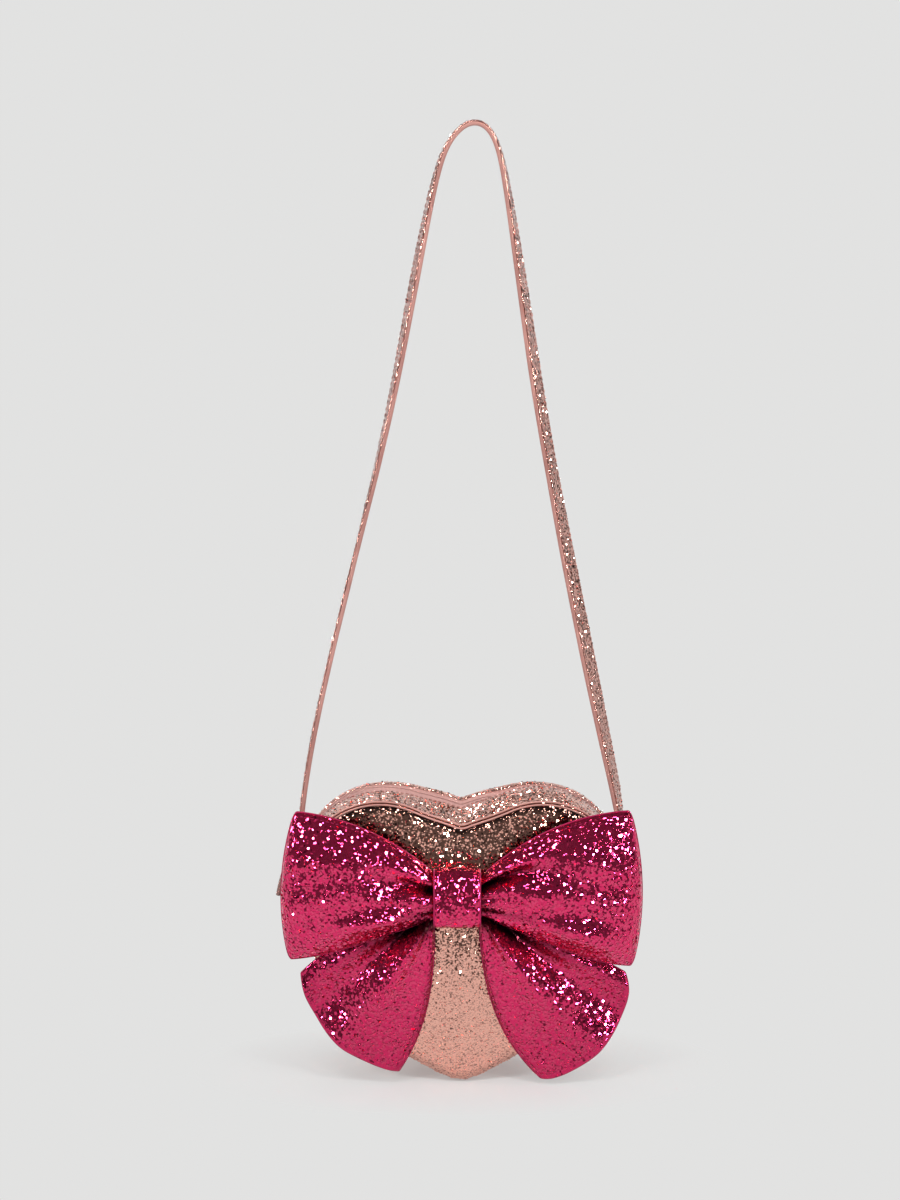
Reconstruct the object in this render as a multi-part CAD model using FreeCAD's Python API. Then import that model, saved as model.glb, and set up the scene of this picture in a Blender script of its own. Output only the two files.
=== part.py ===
import FreeCAD, Part
import math
import os

# Heart shaped purse with a bow, a zip over its top and a shoulder strap, in millimetres.
# X runs to the right, Y to the back and Z up. Heights count from the heart's tip while the
# pieces are drawn, and each piece is then moved so that the origin lies under the strap's top.

V = FreeCAD.Vector

# Heart outline
half_width = 88.0
lobe_radius = 44.0
side_radius = 111.0
tip_radius = 10.0
cleft_radius = 6.0
tip_slope = math.radians(29.5)
cleft_slope = math.radians(25.0)

# Depth and layers of the bag
bag_depth = 52.0
panel_thickness = 1.5
foam_thickness = 3.0
lining_thickness = 0.8
gusset_thickness = 1.5
piping_radius = 1.4
piping_seat = 0.1

# Zip over the top, near the back
zip_centre = 11.0
zip_slit = 1.4
tape_width = 6.2
tape_thickness = 0.6
tape_sink = 0.3
coil_width = 1.8
coil_thickness = 1.6
stop_length = 3.0
tail_length = 36.0
tail_thickness = 3.0

# Mouth, from the bottom of the cleft down to its fold
mouth_depth = 11.7
fold_gap = 0.5

# Zip slider and pull
slider_turn = math.radians(34.0)
slider_half_turn = math.radians(6.5)
slider_width = 8.0
slider_plate = 1.2
slider_neck = 0.8
slider_gap = 0.35
bail_width = 2.0
bail_outer = 2.6
bail_hole = 1.2
pull_pin_radius = 0.8
pull_side_gap = 0.3
pull_width = 5.6
pull_thickness = 1.2
pull_slot = 4.5
pull_length = 24.0
pull_lean = math.radians(19.0)

# Strap, worn over the shoulder
strap_width = 12.0
strap_centre = -10.0
strap_face_thickness = 1.2
strap_backing_thickness = 0.8
strap_hinge_height = 165.0
strap_hinge_gap = 0.4
strap_seam_height = 116.0
strap_end_height = 95.0
strap_lap = 1.0
strap_lean = 1.4
strap_lean_height = 148.0
stitch_length = 2.6
stitch_width = 0.5
stitch_rise = 0.4
stitch_margin = 2.0
stitch_rows = 4
arc_share = 0.45
strap_route = [
    (-half_width - strap_backing_thickness, strap_seam_height - strap_lap),
    (-half_width + strap_lean, strap_lean_height),
    (-77.5, 201.0),
    (-57.0, 286.0),
    (-38.0, 361.0),
    (-21.5, 449.0),
    (-14.0, 488.0),
    (-7.5, 506.5),
    (2.5, 517.0),
    (12.0, 517.0),
    (19.5, 506.5),
    (25.0, 483.0),
    (34.0, 430.0),
    (43.5, 366.0),
    (57.5, 287.0),
    (76.5, 198.0),
    (half_width - strap_lean, strap_lean_height),
    (half_width + strap_backing_thickness, strap_seam_height - strap_lap),
]

# Bow, sewn on the front
bow_gap = 0.4
knot_width = 24.0
knot_top = 125.0
knot_bottom = 94.0
knot_depth = 19.0
knot_wall = 2.0
knot_round = 6.0
tack_size = 15.0
tail_layer = 7.0
tail_cloth = 2.2
tail_wave = 1.8
tail_width = 88.0
tail_drop = 96.0
tail_root_side = 4.0
tail_root_height = 100.0
loop_plane = 38.6
loop_front_bulge = 13.0
loop_back_bulge = 4.2
loop_length = 82.0
loop_end_height = 85.0
loop_neck_height = 20.0
loop_centre_height = 113.0
loop_neck_drop = 5.2

# Along a loop from its neck to its end: place, height, drop of its middle, front bulge and back bulge
loop_place_shares = (0.0, 0.28, 0.62, 0.91, 1.0)
loop_height_shares = (0.0, 0.46, 0.83, 1.0, 0.96)
loop_drop_shares = (1.0, -0.15, -0.3, 0.0, 0.0)
loop_front_shares = (0.35, 0.75, 1.0, 0.62, 0.16)
loop_back_shares = (0.6, 1.0, 1.0, 0.7, 0.35)

# Across a tail from the knot to its hem: where each cross line starts and ends, and how deep it folds
tail_inner_side_shares = (0.07, 0.10, 0.19, 0.41, 0.60)
tail_inner_drop_shares = (0.12, 0.36, 0.69, 0.99, 0.97)
tail_outer_side_shares = (0.15, 0.51, 0.82, 0.99, 0.97)
tail_outer_drop_shares = (0.07, 0.18, 0.32, 0.42, 0.60)
tail_wave_shares = (0.4, 0.8, 1.0, 1.0, 0.9)
tail_fold_shares = (0, 1, 0, -1, 0, 1, 0, -1, 0)

overrun = 20.0

# Depths and heights that follow
front_face = -bag_depth / 2
back_face = bag_depth / 2
piping_inset = piping_radius + piping_seat
panel_inset = 2 * piping_inset
piping_front = front_face + piping_inset
piping_back = back_face - piping_inset
gusset_front = front_face + panel_inset
gusset_back = back_face - panel_inset
lining_inset = gusset_thickness + lining_thickness
stack = panel_thickness + foam_thickness + lining_thickness
zip_front = zip_centre - zip_slit / 2
zip_back = zip_centre + zip_slit / 2
tape_front = zip_front - tape_width
tape_back = zip_back + tape_width
coil_inset = tape_sink + tape_thickness
coil_end = coil_inset + coil_thickness
side_turn = math.pi / 2 - tip_slope
lobe_side = half_width - lobe_radius
side_centre = half_width - side_radius
side_rise = side_radius - tip_radius + side_centre * math.cos(side_turn)
lobe_height = tip_radius + side_rise / math.sin(side_turn)
cleft_rise = cleft_radius + lobe_radius - lobe_side * math.sin(cleft_slope)
cleft_height = lobe_height + cleft_rise / math.cos(cleft_slope)
fold_height = cleft_height - cleft_radius - mouth_depth
lobe_end = math.pi / 2 + cleft_slope
strap_thickness = strap_face_thickness + strap_backing_thickness
strap_top = max(height for side, height in strap_route)
top_points = [side for side, height in strap_route if height == strap_top]
hang_point = V(sum(top_points) / len(top_points), strap_centre, strap_top - strap_backing_thickness)


# Plain helpers
def polar(side, height, radius, angle, depth):
    """A point at an angle round a centre in the front view."""
    return V(side + radius * math.cos(angle), depth, height + radius * math.sin(angle))


def arc(side, height, radius, start, end, depth):
    """An arc round a centre in the front view."""
    points = [polar(side, height, radius, a, depth) for a in (start, (start + end) / 2, end)]
    return Part.Arc(*points).toShape()


def line(start, end):
    """A straight edge."""
    return Part.LineSegment(start, end).toShape()


def mirror_left(shape):
    """The same shape on the other side of the bag."""
    return shape.mirror(V(0, 0, 0), V(1, 0, 0))


def block(low, high):
    """A box between two corners."""
    return Part.makeBox(high.x - low.x, high.y - low.y, high.z - low.z, low)


def band_between(low, high):
    """A box as wide and deep as the bag between two heights."""
    reach = half_width + bag_depth + overrun
    return block(V(-reach, -reach, low), V(reach, reach, high))


def above(shape, height):
    """What lies over a height."""
    return shape.common(band_between(height, height + 2 * half_width + overrun))


def below(shape, height):
    """What lies under a height."""
    return shape.common(band_between(-overrun, height))


# Heart
def heart_wire(inset, depth):
    """Heart outline drawn in from the outer edge: tip, sides, lobes and cleft joined tangent."""
    tip = tip_radius - inset
    side = side_radius - inset
    lobe = lobe_radius - inset
    cleft = cleft_radius + inset
    side_low = polar(side_centre, lobe_height, side, -side_turn, depth)
    tip_right = polar(0, tip_radius, tip, -side_turn, depth)
    lobe_in = polar(lobe_side, lobe_height, lobe, lobe_end, depth)
    cleft_right = polar(0, cleft_height, -cleft, lobe_end, depth)
    right = [
        line(tip_right, side_low),
        arc(side_centre, lobe_height, side, -side_turn, 0, depth),
        arc(lobe_side, lobe_height, lobe, 0, lobe_end, depth),
        line(lobe_in, cleft_right),
    ]
    left = [mirror_left(edge) for edge in right]
    tip_arc = arc(0, tip_radius, tip, side_turn - math.pi, -side_turn, depth)
    cleft_arc = arc(0, cleft_height, cleft, cleft_slope - math.pi / 2, -cleft_slope - math.pi / 2, depth)
    return Part.Wire(Part.__sortEdges__(right + left + [tip_arc, cleft_arc]))


def heart_slab(inset, front, back):
    """A heart plate between two depths."""
    return Part.Face(heart_wire(inset, front)).extrude(V(0, back - front, 0))


def heart_ring(outer, inner, front, back):
    """A strip that follows the heart's edge between two depths."""
    return heart_slab(outer, front, back).cut(heart_slab(inner, front, back))


def piping(depth):
    """A round cord along the heart's edge."""
    path = heart_wire(piping_inset, depth)
    start = path.Edges[0]
    at = start.valueAt(start.FirstParameter)
    along = start.tangentAt(start.FirstParameter)
    section = Part.Wire(Part.Circle(at, along, piping_radius).toShape())
    return path.makePipeShell([section], True, False)


# Front, sides and back
def build_front():
    """Front heart of glitter cloth, foam and lining, with its piping."""
    foam_front = front_face + panel_thickness
    lining_front = foam_front + foam_thickness
    return {
        "front_panel": heart_slab(panel_inset, front_face, foam_front),
        "front_foam": heart_slab(panel_inset, foam_front, lining_front),
        "front_lining": heart_slab(panel_inset, lining_front, front_face + stack),
        "front_piping": piping(piping_front),
    }


def build_gusset():
    """Strip round the sides and tip, and the strip over the top in front of the zip."""
    gusset = heart_ring(0, gusset_thickness, gusset_front, gusset_back)
    lining = heart_ring(gusset_thickness, lining_inset, front_face + stack, back_face - stack)
    front_strip = heart_ring(0, gusset_thickness, gusset_front, tape_front)
    front_lining = heart_ring(gusset_thickness, lining_inset, front_face + stack, tape_front)
    return {
        "side_gusset": below(gusset, fold_height),
        "side_gusset_lining": below(lining, fold_height),
        "top_gusset": above(front_strip, fold_height),
        "top_gusset_lining": above(front_lining, fold_height),
    }


def build_back():
    """Back heart, parted at the fold of the mouth into a fixed lower part and a flap."""
    foam_back = back_face - panel_thickness
    lining_back = foam_back - foam_thickness
    layers = {
        "panel": heart_slab(panel_inset, foam_back, back_face),
        "foam": heart_slab(panel_inset, lining_back, foam_back),
        "lining": heart_slab(panel_inset, back_face - stack, lining_back),
        "piping": piping(piping_back),
        "gusset": heart_ring(0, gusset_thickness, tape_back, gusset_back),
    }
    parts = {}
    for name, shape in layers.items():
        parts["flap_" + name] = above(shape, fold_height + fold_gap)
        if name != "gusset":
            parts["back_" + name] = below(shape, fold_height)
    return parts


# Zip
def build_zip():
    """Two tapes with a coil under the inner edge of each, end stops and the tail at the left."""
    tape_end = tape_sink + tape_thickness
    front_tape = heart_ring(tape_sink, tape_end, tape_front, zip_front)
    back_tape = heart_ring(tape_sink, tape_end, zip_back, tape_back)
    front_coil = heart_ring(coil_inset, coil_end, zip_front - coil_width, zip_front)
    back_coil = heart_ring(coil_inset, coil_end, zip_back, zip_back + coil_width)
    stop_top = fold_height + stop_length
    stops = above(below(front_coil, stop_top), fold_height)
    coil_front = above(front_coil, stop_top)
    return {
        "zip_tape_front": above(front_tape, fold_height),
        "zip_tape_back": above(back_tape, fold_height + fold_gap),
        "zip_coil_front": coil_front,
        "zip_coil_back": above(back_coil, fold_height + fold_gap),
        "zip_stops": stops,
        "zip_tail": build_zip_tail(),
    }


def build_zip_tail():
    """Closed end of the zip that runs straight on where the side curves away from it."""
    turn = math.asin((fold_height - lobe_height) / lobe_radius)
    root = polar(lobe_side, lobe_height, lobe_radius + tape_sink, turn, tape_front)
    outward = V(math.cos(turn), 0, math.sin(turn))
    along = V(math.sin(turn), 0, -math.cos(turn))
    corners = [
        root,
        root + along * tail_length,
        root + along * tail_length + outward * tail_thickness,
        root + outward * tail_thickness,
        root,
    ]
    tail = Part.Face(Part.makePolygon(corners)).extrude(V(0, tape_back - tape_front, 0))
    return mirror_left(tail)


# Slider and pull, drawn on top of the right lobe's outermost point and then turned up round the lobe
def lobe_sector(inner, outer, front, back):
    """A short curved plate that follows the lobe between two radii."""
    turn = slider_half_turn
    low_in, low_out = [polar(lobe_side, lobe_height, radius, -turn, front) for radius in (inner, outer)]
    high_in, high_out = [polar(lobe_side, lobe_height, radius, turn, front) for radius in (inner, outer)]
    edges = [
        arc(lobe_side, lobe_height, inner, -turn, turn, front),
        line(high_in, high_out),
        arc(lobe_side, lobe_height, outer, turn, -turn, front),
        line(low_out, low_in),
    ]
    return Part.Face(Part.Wire(edges)).extrude(V(0, back - front, 0))


def round_bar(side, radius, width):
    """A bar across the zip, level with the lobe's centre."""
    start = V(side, zip_centre - width / 2, lobe_height)
    return Part.makeCylinder(radius, width, start, V(0, 1, 0))


def turned(shape):
    """A piece of the slider turned up round the lobe to where the closed zip holds it."""
    shape.rotate(V(lobe_side, 0, lobe_height), V(0, 1, 0), -math.degrees(slider_turn))
    return shape


def build_slider():
    """Curved top plate, neck through the slit, plate under the back coil and a bail for the pull."""
    plate_low = lobe_radius + slider_gap
    plate_high = plate_low + slider_plate
    hinge_side = lobe_side + plate_high + bail_outer
    coil_under = lobe_radius - coil_end - slider_gap
    neck_front = zip_centre - slider_neck / 2
    neck_back = zip_centre + slider_neck / 2
    top = lobe_sector(plate_low, plate_high, zip_centre - slider_width / 2, zip_centre + slider_width / 2)
    neck = lobe_sector(coil_under - slider_plate, plate_high, neck_front, neck_back)
    under = lobe_sector(coil_under - slider_plate, coil_under, neck_front, zip_back + coil_width)
    bail = round_bar(hinge_side, bail_outer, bail_width)
    foot = block(
        V(lobe_side + plate_low, zip_centre - bail_width / 2, lobe_height - bail_outer),
        V(hinge_side, zip_centre + bail_width / 2, lobe_height + bail_outer),
    )
    hole = round_bar(hinge_side, bail_hole, bail_width + overrun)
    slider = top.fuse([neck, under, bail, foot.cut(lobe_bore(plate_low))]).cut(hole)
    return {"zip_slider": turned(slider.removeSplitter()), "zip_pull": build_pull(hinge_side)}


def lobe_bore(radius):
    """The round space that the lobe and its running gap fill."""
    start = V(lobe_side, -bag_depth, lobe_height)
    return Part.makeCylinder(radius, 2 * bag_depth, start, V(0, 1, 0))


def build_pull(hinge_side):
    """Pin through the bail, two arms and a flat leaf that leans on the side of the bag."""
    arm_start = bail_width / 2 + pull_side_gap
    pin = round_bar(hinge_side, pull_pin_radius, pull_width)
    low = V(hinge_side - pull_thickness / 2, zip_centre - pull_width / 2, lobe_height - pull_length)
    high = V(hinge_side + pull_thickness / 2, zip_centre + pull_width / 2, lobe_height)
    slot = block(
        V(low.x - overrun, zip_centre - arm_start, lobe_height - pull_slot),
        V(high.x + overrun, zip_centre + arm_start, lobe_height + overrun),
    )
    pull = block(low, high).cut(slot).fuse(pin).removeSplitter()
    pull.rotate(V(hinge_side, 0, lobe_height), V(0, 1, 0), math.degrees(pull_lean))
    return turned(pull)


# Strap
def unit(x, y):
    """A direction in the front view with length one."""
    size = math.hypot(x, y)
    return x / size, y / size


def strap_corners():
    """Each corner of the route with its two tangent points, its arc's centre and its radius."""
    corners = []
    for before, here, after in zip(strap_route, strap_route[1:], strap_route[2:]):
        into = unit(here[0] - before[0], here[1] - before[1])
        out = unit(after[0] - here[0], after[1] - here[1])
        run = min(math.dist(before, here), math.dist(here, after))
        cross = into[0] * out[1] - into[1] * out[0]
        turn = math.atan2(cross, into[0] * out[0] + into[1] * out[1])
        radius = arc_share * run / math.tan(abs(turn) / 2)
        corners.append((here, into, out, arc_share * run, math.copysign(radius, turn)))
    return corners


def strap_edges(shift):
    """The route as straight runs and tangent arcs, moved out from the loop by a shift."""
    edges = []
    first = strap_corners()[0]
    last = strap_corners()[-1]
    at = shifted(strap_route[0], first[1], shift)
    for here, into, out, cut, radius in strap_corners():
        start = shifted((here[0] - into[0] * cut, here[1] - into[1] * cut), into, shift)
        end = shifted((here[0] + out[0] * cut, here[1] + out[1] * cut), out, shift)
        centre = shifted((here[0] - into[0] * cut, here[1] - into[1] * cut), into, radius)
        away = unit(here[0] - centre.x, here[1] - centre.z)
        reach = abs(radius - shift)
        middle = V(centre.x + away[0] * reach, 0, centre.z + away[1] * reach)
        edges += [line(at, start), Part.Arc(start, middle, end).toShape()]
        at = end
    edges.append(line(at, shifted(strap_route[-1], last[2], shift)))
    return edges


def shifted(point, direction, shift):
    """A point of the front view moved to the left of a direction."""
    return V(point[0] - direction[1] * shift, 0, point[1] + direction[0] * shift)


def strap_band(inner, outer):
    """A strip along the whole route between two shifts from it."""
    outside = strap_edges(outer)
    inside = strap_edges(inner)
    ends = [
        line(inside[0].Vertexes[0].Point, outside[0].Vertexes[0].Point),
        line(inside[-1].Vertexes[-1].Point, outside[-1].Vertexes[-1].Point),
    ]
    face = Part.Face(Part.Wire(Part.__sortEdges__(outside + inside + ends)))
    band = face.extrude(V(0, strap_width, 0))
    band.translate(V(0, strap_centre - strap_width / 2, 0))
    return band


def strap_layer(inner, outer):
    """One layer of the swinging strap, rounded at both ends about the line where it folds."""
    band = strap_band(inner, outer)
    reach = half_width + overrun
    start = V(-reach, strap_centre, strap_hinge_height)
    ends = Part.makeCylinder(strap_width / 2, 2 * reach, start, V(1, 0, 0))
    upper = band_between(strap_hinge_height, strap_top + strap_thickness + overrun)
    return band.common(upper).fuse(band.common(ends)).removeSplitter()


def build_strap():
    """Glitter face outside and smooth backing inside, one loop from side to side."""
    radii = [round(abs(corner[4]), 1) for corner in strap_corners()]
    print("strap radii", radii)
    return {
        "strap_face": strap_layer(0, strap_face_thickness),
        "strap_backing": strap_layer(-strap_backing_thickness, 0),
    }


def build_strap_ends():
    """The strap's two ends: sewn to the gusset, then free up to the fold, with rows of stitches."""
    front = strap_centre - strap_width / 2
    back = strap_centre + strap_width / 2
    sewn = heart_ring(-strap_thickness, 0, front, back)
    sewn = sewn.common(band_between(strap_end_height, strap_seam_height))
    stub_top = strap_hinge_height - strap_width / 2 - strap_hinge_gap
    free = strap_band(-strap_backing_thickness, strap_face_thickness)
    free = free.common(band_between(strap_seam_height, stub_top))
    left, right = sorted(sewn.fuse(free).removeSplitter().Solids, key=lambda solid: solid.CenterOfMass.x)
    bump = heart_ring(-strap_thickness - stitch_rise, -strap_thickness, front, back)
    pitch = (strap_seam_height - strap_end_height - 2 * stitch_margin) / stitch_rows
    boxes = []
    for row in range(stitch_rows):
        low = strap_end_height + stitch_margin + pitch * row + (pitch - stitch_length) / 2
        for edge in (front + stitch_margin, back - stitch_margin - stitch_width):
            for side in (-half_width - overrun, 0):
                corner = V(side, edge, low)
                boxes.append(block(corner, corner + V(half_width + overrun, stitch_width, stitch_length)))
    stitches = Part.makeCompound([solid for box in boxes for solid in bump.common(box).Solids])
    return {"strap_end_left": left, "strap_end_right": right, "strap_end_stitches": stitches}


# Bow
def lens_wire(side, low, high, front, back, plane):
    """A loop's section across the bow: a front bulge and a back bulge between its two edges."""
    middle = (low + high) / 2
    bottom = V(side, plane, low)
    top = V(side, plane, high)
    bulge = Part.Arc(bottom, V(side, plane - front, middle), top).toShape()
    rest = Part.Arc(top, V(side, plane + back, middle), bottom).toShape()
    return Part.Wire([bulge, rest])


def bow_loop():
    """A right loop that widens and swells from the knot, and thins to the fold at its end."""
    neck = knot_width / 2 + bow_gap
    sections = []
    shares = zip(
        loop_place_shares,
        loop_height_shares,
        loop_drop_shares,
        loop_front_shares,
        loop_back_shares,
    )
    for place, height, drop, front, back in shares:
        half = (loop_neck_height + (loop_end_height - loop_neck_height) * height) / 2
        centre = loop_centre_height - loop_neck_drop * drop
        sections.append(
            lens_wire(
                neck + loop_length * place,
                centre - half,
                centre + half,
                loop_front_bulge * front,
                loop_back_bulge * back,
                -loop_plane,
            )
        )
    return Part.makeLoft(sections, True, False)


def tail_wire(start, end, wave):
    """A tail's section across the fan: a ribbon whose folds rise and fall from edge to edge."""
    last = len(tail_fold_shares) - 1
    rows = []
    for face in (-tail_cloth / 2, tail_cloth / 2):
        row = []
        for k, fold in enumerate(tail_fold_shares):
            point = start + (end - start) * (k / last)
            row.append(point + V(0, face + wave * fold, 0))
        rows.append(row)
    front, back = rows[0], rows[1][::-1]
    edges = []
    for row, turn in ((front, back[0]), (back, front[0])):
        for k in range(0, last, 2):
            edges.append(Part.Arc(*row[k:k + 3]).toShape())
        edges.append(line(row[-1], turn))
    return Part.Wire(edges)


def tail_point(side, drop):
    """A point of the right tail from its shares of the tail's width and drop."""
    plane = front_face - tail_layer / 2
    return V(tail_root_side + tail_width * side, plane, tail_root_height - tail_drop * drop)


def bow_tail():
    """A right tail that fans out below the loop, folded from the knot to its hem."""
    starts = zip(tail_inner_side_shares, tail_inner_drop_shares)
    ends = zip(tail_outer_side_shares, tail_outer_drop_shares)
    sections = []
    for start, end, wave in zip(starts, ends, tail_wave_shares):
        sections.append(tail_wire(tail_point(*start), tail_point(*end), tail_wave * wave))
    return Part.makeLoft(sections, True, False)


def knot_block(inset, half_length):
    """A rounded bar across the bow, drawn in from the knot's outer face."""
    back = front_face - tail_layer
    low = V(-half_length, back - knot_depth + inset, knot_bottom + inset)
    high = V(half_length, back - inset, knot_top - inset)
    bar = block(low, high)
    long_edges = [edge for edge in bar.Edges if abs(edge.tangentAt(edge.FirstParameter).x) > 0.5]
    return bar.makeFillet(knot_round - inset, long_edges)


def build_bow():
    """Loops, tails, the knot round their gathers and the patch that is sewn to the front."""
    loop = bow_loop()
    tail = bow_tail()
    half_knot = knot_width / 2
    knot = knot_block(0, half_knot).cut(knot_block(knot_wall, half_knot + overrun))
    tack_top = tail_root_height + bow_gap + tack_size
    tack = block(
        V(-tack_size / 2, front_face - tail_layer, tail_root_height + bow_gap),
        V(tack_size / 2, front_face, tack_top),
    )
    return {
        "bow_loop_right": loop,
        "bow_loop_left": mirror_left(loop),
        "bow_tail_right": tail,
        "bow_tail_left": mirror_left(tail),
        "bow_knot": knot,
        "bow_core": knot_block(knot_wall, half_knot),
        "bow_tack": tack,
    }


# Every piece, placed and written
def main():
    os.makedirs("parts", exist_ok=True)
    groups = [
        build_front(),
        build_gusset(),
        build_back(),
        build_zip(),
        build_slider(),
        build_strap(),
        build_strap_ends(),
        build_bow(),
    ]
    for group in groups:
        for name, shape in group.items():
            shape.translate(-hang_point)
            shape.exportStep("parts/" + name + ".step")
            print(name, shape.isValid(), len(shape.Solids), round(shape.Volume, 1))
    print("origin above the tip", hang_point)


main()
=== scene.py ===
"""Looks of a heart shaped purse with a bow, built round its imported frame.

Shapes are worked out in bag coordinates, in metres: x to the right, y to the back and z up from the tip
of the heart.
"""

import math

import bpy
import mathutils
import numpy as np
from bpy.props import FloatProperty, FloatVectorProperty, IntProperty, PointerProperty
from bpy.types import Operator, Panel, PropertyGroup
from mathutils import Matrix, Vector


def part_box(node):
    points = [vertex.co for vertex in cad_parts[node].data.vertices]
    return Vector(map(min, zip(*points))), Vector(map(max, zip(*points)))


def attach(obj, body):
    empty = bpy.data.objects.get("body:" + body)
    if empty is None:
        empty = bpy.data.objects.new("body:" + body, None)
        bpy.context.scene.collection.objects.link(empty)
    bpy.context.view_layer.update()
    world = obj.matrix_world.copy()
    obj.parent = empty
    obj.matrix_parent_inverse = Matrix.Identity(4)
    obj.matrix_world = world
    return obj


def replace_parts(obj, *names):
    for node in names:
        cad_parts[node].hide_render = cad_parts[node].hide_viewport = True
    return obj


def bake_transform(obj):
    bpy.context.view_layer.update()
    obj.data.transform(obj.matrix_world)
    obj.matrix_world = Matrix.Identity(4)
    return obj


bl_info = {
    "name": "Heart purse",
    "version": (1, 0, 0),
    "blender": (4, 5, 0),
    "location": "View3D > Sidebar > Purse",
    "description": "Glitter cloth, bow, zip and strap of a heart shaped purse",
    "category": "Add Mesh",
}

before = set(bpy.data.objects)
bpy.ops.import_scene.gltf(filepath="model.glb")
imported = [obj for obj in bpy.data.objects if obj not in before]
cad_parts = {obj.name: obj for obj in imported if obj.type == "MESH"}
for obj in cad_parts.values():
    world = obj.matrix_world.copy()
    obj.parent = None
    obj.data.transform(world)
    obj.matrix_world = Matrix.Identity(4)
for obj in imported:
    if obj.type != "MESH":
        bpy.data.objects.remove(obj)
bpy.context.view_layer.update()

# The bag's place in the row frame
GUSSET_LOW, GUSSET_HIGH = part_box("side_gusset")
TIP = np.array(
    (
        (GUSSET_LOW.x + GUSSET_HIGH.x) / 2,
        (GUSSET_LOW.y + GUSSET_HIGH.y) / 2,
        GUSSET_LOW.z,
    )
)
HALF_WIDTH = (GUSSET_HIGH.x - GUSSET_LOW.x) / 2
FRONT_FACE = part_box("front_panel")[0].y - TIP[1]
BACK_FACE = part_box("back_panel")[1].y - TIP[1]
FOLD_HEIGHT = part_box("back_panel")[1].z - TIP[2]

# Heart outline, as the frame's heart has it
LOBE_RADIUS = 0.044
SIDE_RADIUS = 0.111
TIP_RADIUS = 0.010
CLEFT_RADIUS = 0.006
TIP_SLOPE = math.radians(29.5)
CLEFT_SLOPE = math.radians(25.0)
HEART_CENTRE = np.array((0.0, 0.092))
ARC_POINTS = 240

# Swell of the panels: the power that it falls with, what the top takes off that, and where the top begins
SWELL_POWER = 2.8
TOP_POWER_LOSS = 1.45
TOP_SLOPE = (0.092, 0.128)

# Bulge of the front below the knot: depth, middle height, width and rise
BULGE = 0.0028
BULGE_HEIGHT = 0.066
BULGE_WIDTH = 0.030
BULGE_RISE = 0.028

# Give of the cloth at the cleft: its lift and width at the front, and what is added to them at the back
CLEFT_LIFT = (0.0022, 0.0052)
CLEFT_WIDTH = (0.015, 0.012)

# Heights between which it comes in and goes again, and how far in front of the bag it begins and is full
CLEFT_RISE = (0.095, 0.140)
CLEFT_FADE = (0.165, 0.190)
CLEFT_FRONT = (-0.006, -0.004)

# Depths of the zip's slit, and the sides and depths between which the slider's run begins and ends
SLIT = (0.0060, 0.0108)
SLIDER_SIDE = (0.014, 0.0265)
SLIDER_BACK = (0.0152, 0.0180)

# Give of the cloth at the tip: lift, width and height
TIP_LIFT = 0.0019
TIP_WIDTH = 0.0085
TIP_HEIGHT = 0.02

# Give of the top strip over each lobe: size, middle, width and the depths between which it comes in
RIGHT_SWELL = (0.0021, 0.038, 0.030, (-0.0215, -0.0020))
LEFT_BEND = (0.0035, -0.042, 0.030, (-0.0170, 0.0030))

# Strap route, side and height: the frame's, with middle points moved up to 2 mm to follow the photograph
STRAP_DEPTH = (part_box("strap_face")[0].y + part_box("strap_face")[1].y) / 2 - TIP[1]
STRAP_ROUTE = (
    (-0.0873, 0.095),
    (-0.0884, 0.104),
    (-0.0888, 0.116),
    (-0.0874, 0.148),
    (-0.0785, 0.201),
    (-0.0575, 0.286),
    (-0.0388, 0.361),
    (-0.0223, 0.449),
    (-0.0140, 0.488),
    (-0.0075, 0.5065),
    (0.0022, 0.5164),
    (0.0114, 0.5164),
    (0.0186, 0.5065),
    (0.0238, 0.483),
    (0.0322, 0.430),
    (0.0420, 0.366),
    (0.0572, 0.287),
    (0.0758, 0.198),
    (0.0866, 0.148),
    (0.0888, 0.116),
    (0.0884, 0.104),
    (0.0873, 0.095),
)


class PurseSizes(PropertyGroup):
    """Sizes of the purse's cloth, trim and glitter."""

    bag_flake: FloatProperty(
        name="Bag flake",
        description="Width of a flake on the bag",
        default=0.00095,
        unit="LENGTH",
        precision=5,
    )
    bow_flake: FloatProperty(
        name="Bow flake",
        description="Width of a flake on the bow",
        default=0.00135,
        unit="LENGTH",
        precision=5,
    )
    flat_tilt: FloatProperty(
        name="Flat tilt", description="Usual slope of the flakes that lie flat on their cloth", default=0.125
    )
    loose_tilt: FloatProperty(
        name="Loose tilt", description="Usual slope of the flakes that stand up", default=0.38
    )
    loose_share: FloatProperty(
        name="Loose share", description="Share of the flakes that stand up", default=0.16, subtype="FACTOR"
    )
    crown: FloatProperty(
        name="Panel crown",
        description="Swell of the padded panels",
        default=0.0062,
        unit="LENGTH",
        precision=5,
    )
    piping: FloatProperty(
        name="Piping",
        description="Radius of the seam's two edges",
        default=0.0005,
        unit="LENGTH",
        precision=5,
    )
    strap_width: FloatProperty(
        name="Strap width",
        description="Width of the strap",
        default=0.012,
        unit="LENGTH",
        precision=5,
    )
    pleat: FloatProperty(
        name="Pleat depth",
        description="Depth of the bow's pleats by the knot",
        default=0.0075,
        unit="LENGTH",
        precision=5,
    )
    seed: IntProperty(name="Seed", description="Start of the random draws", default=7)


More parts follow.
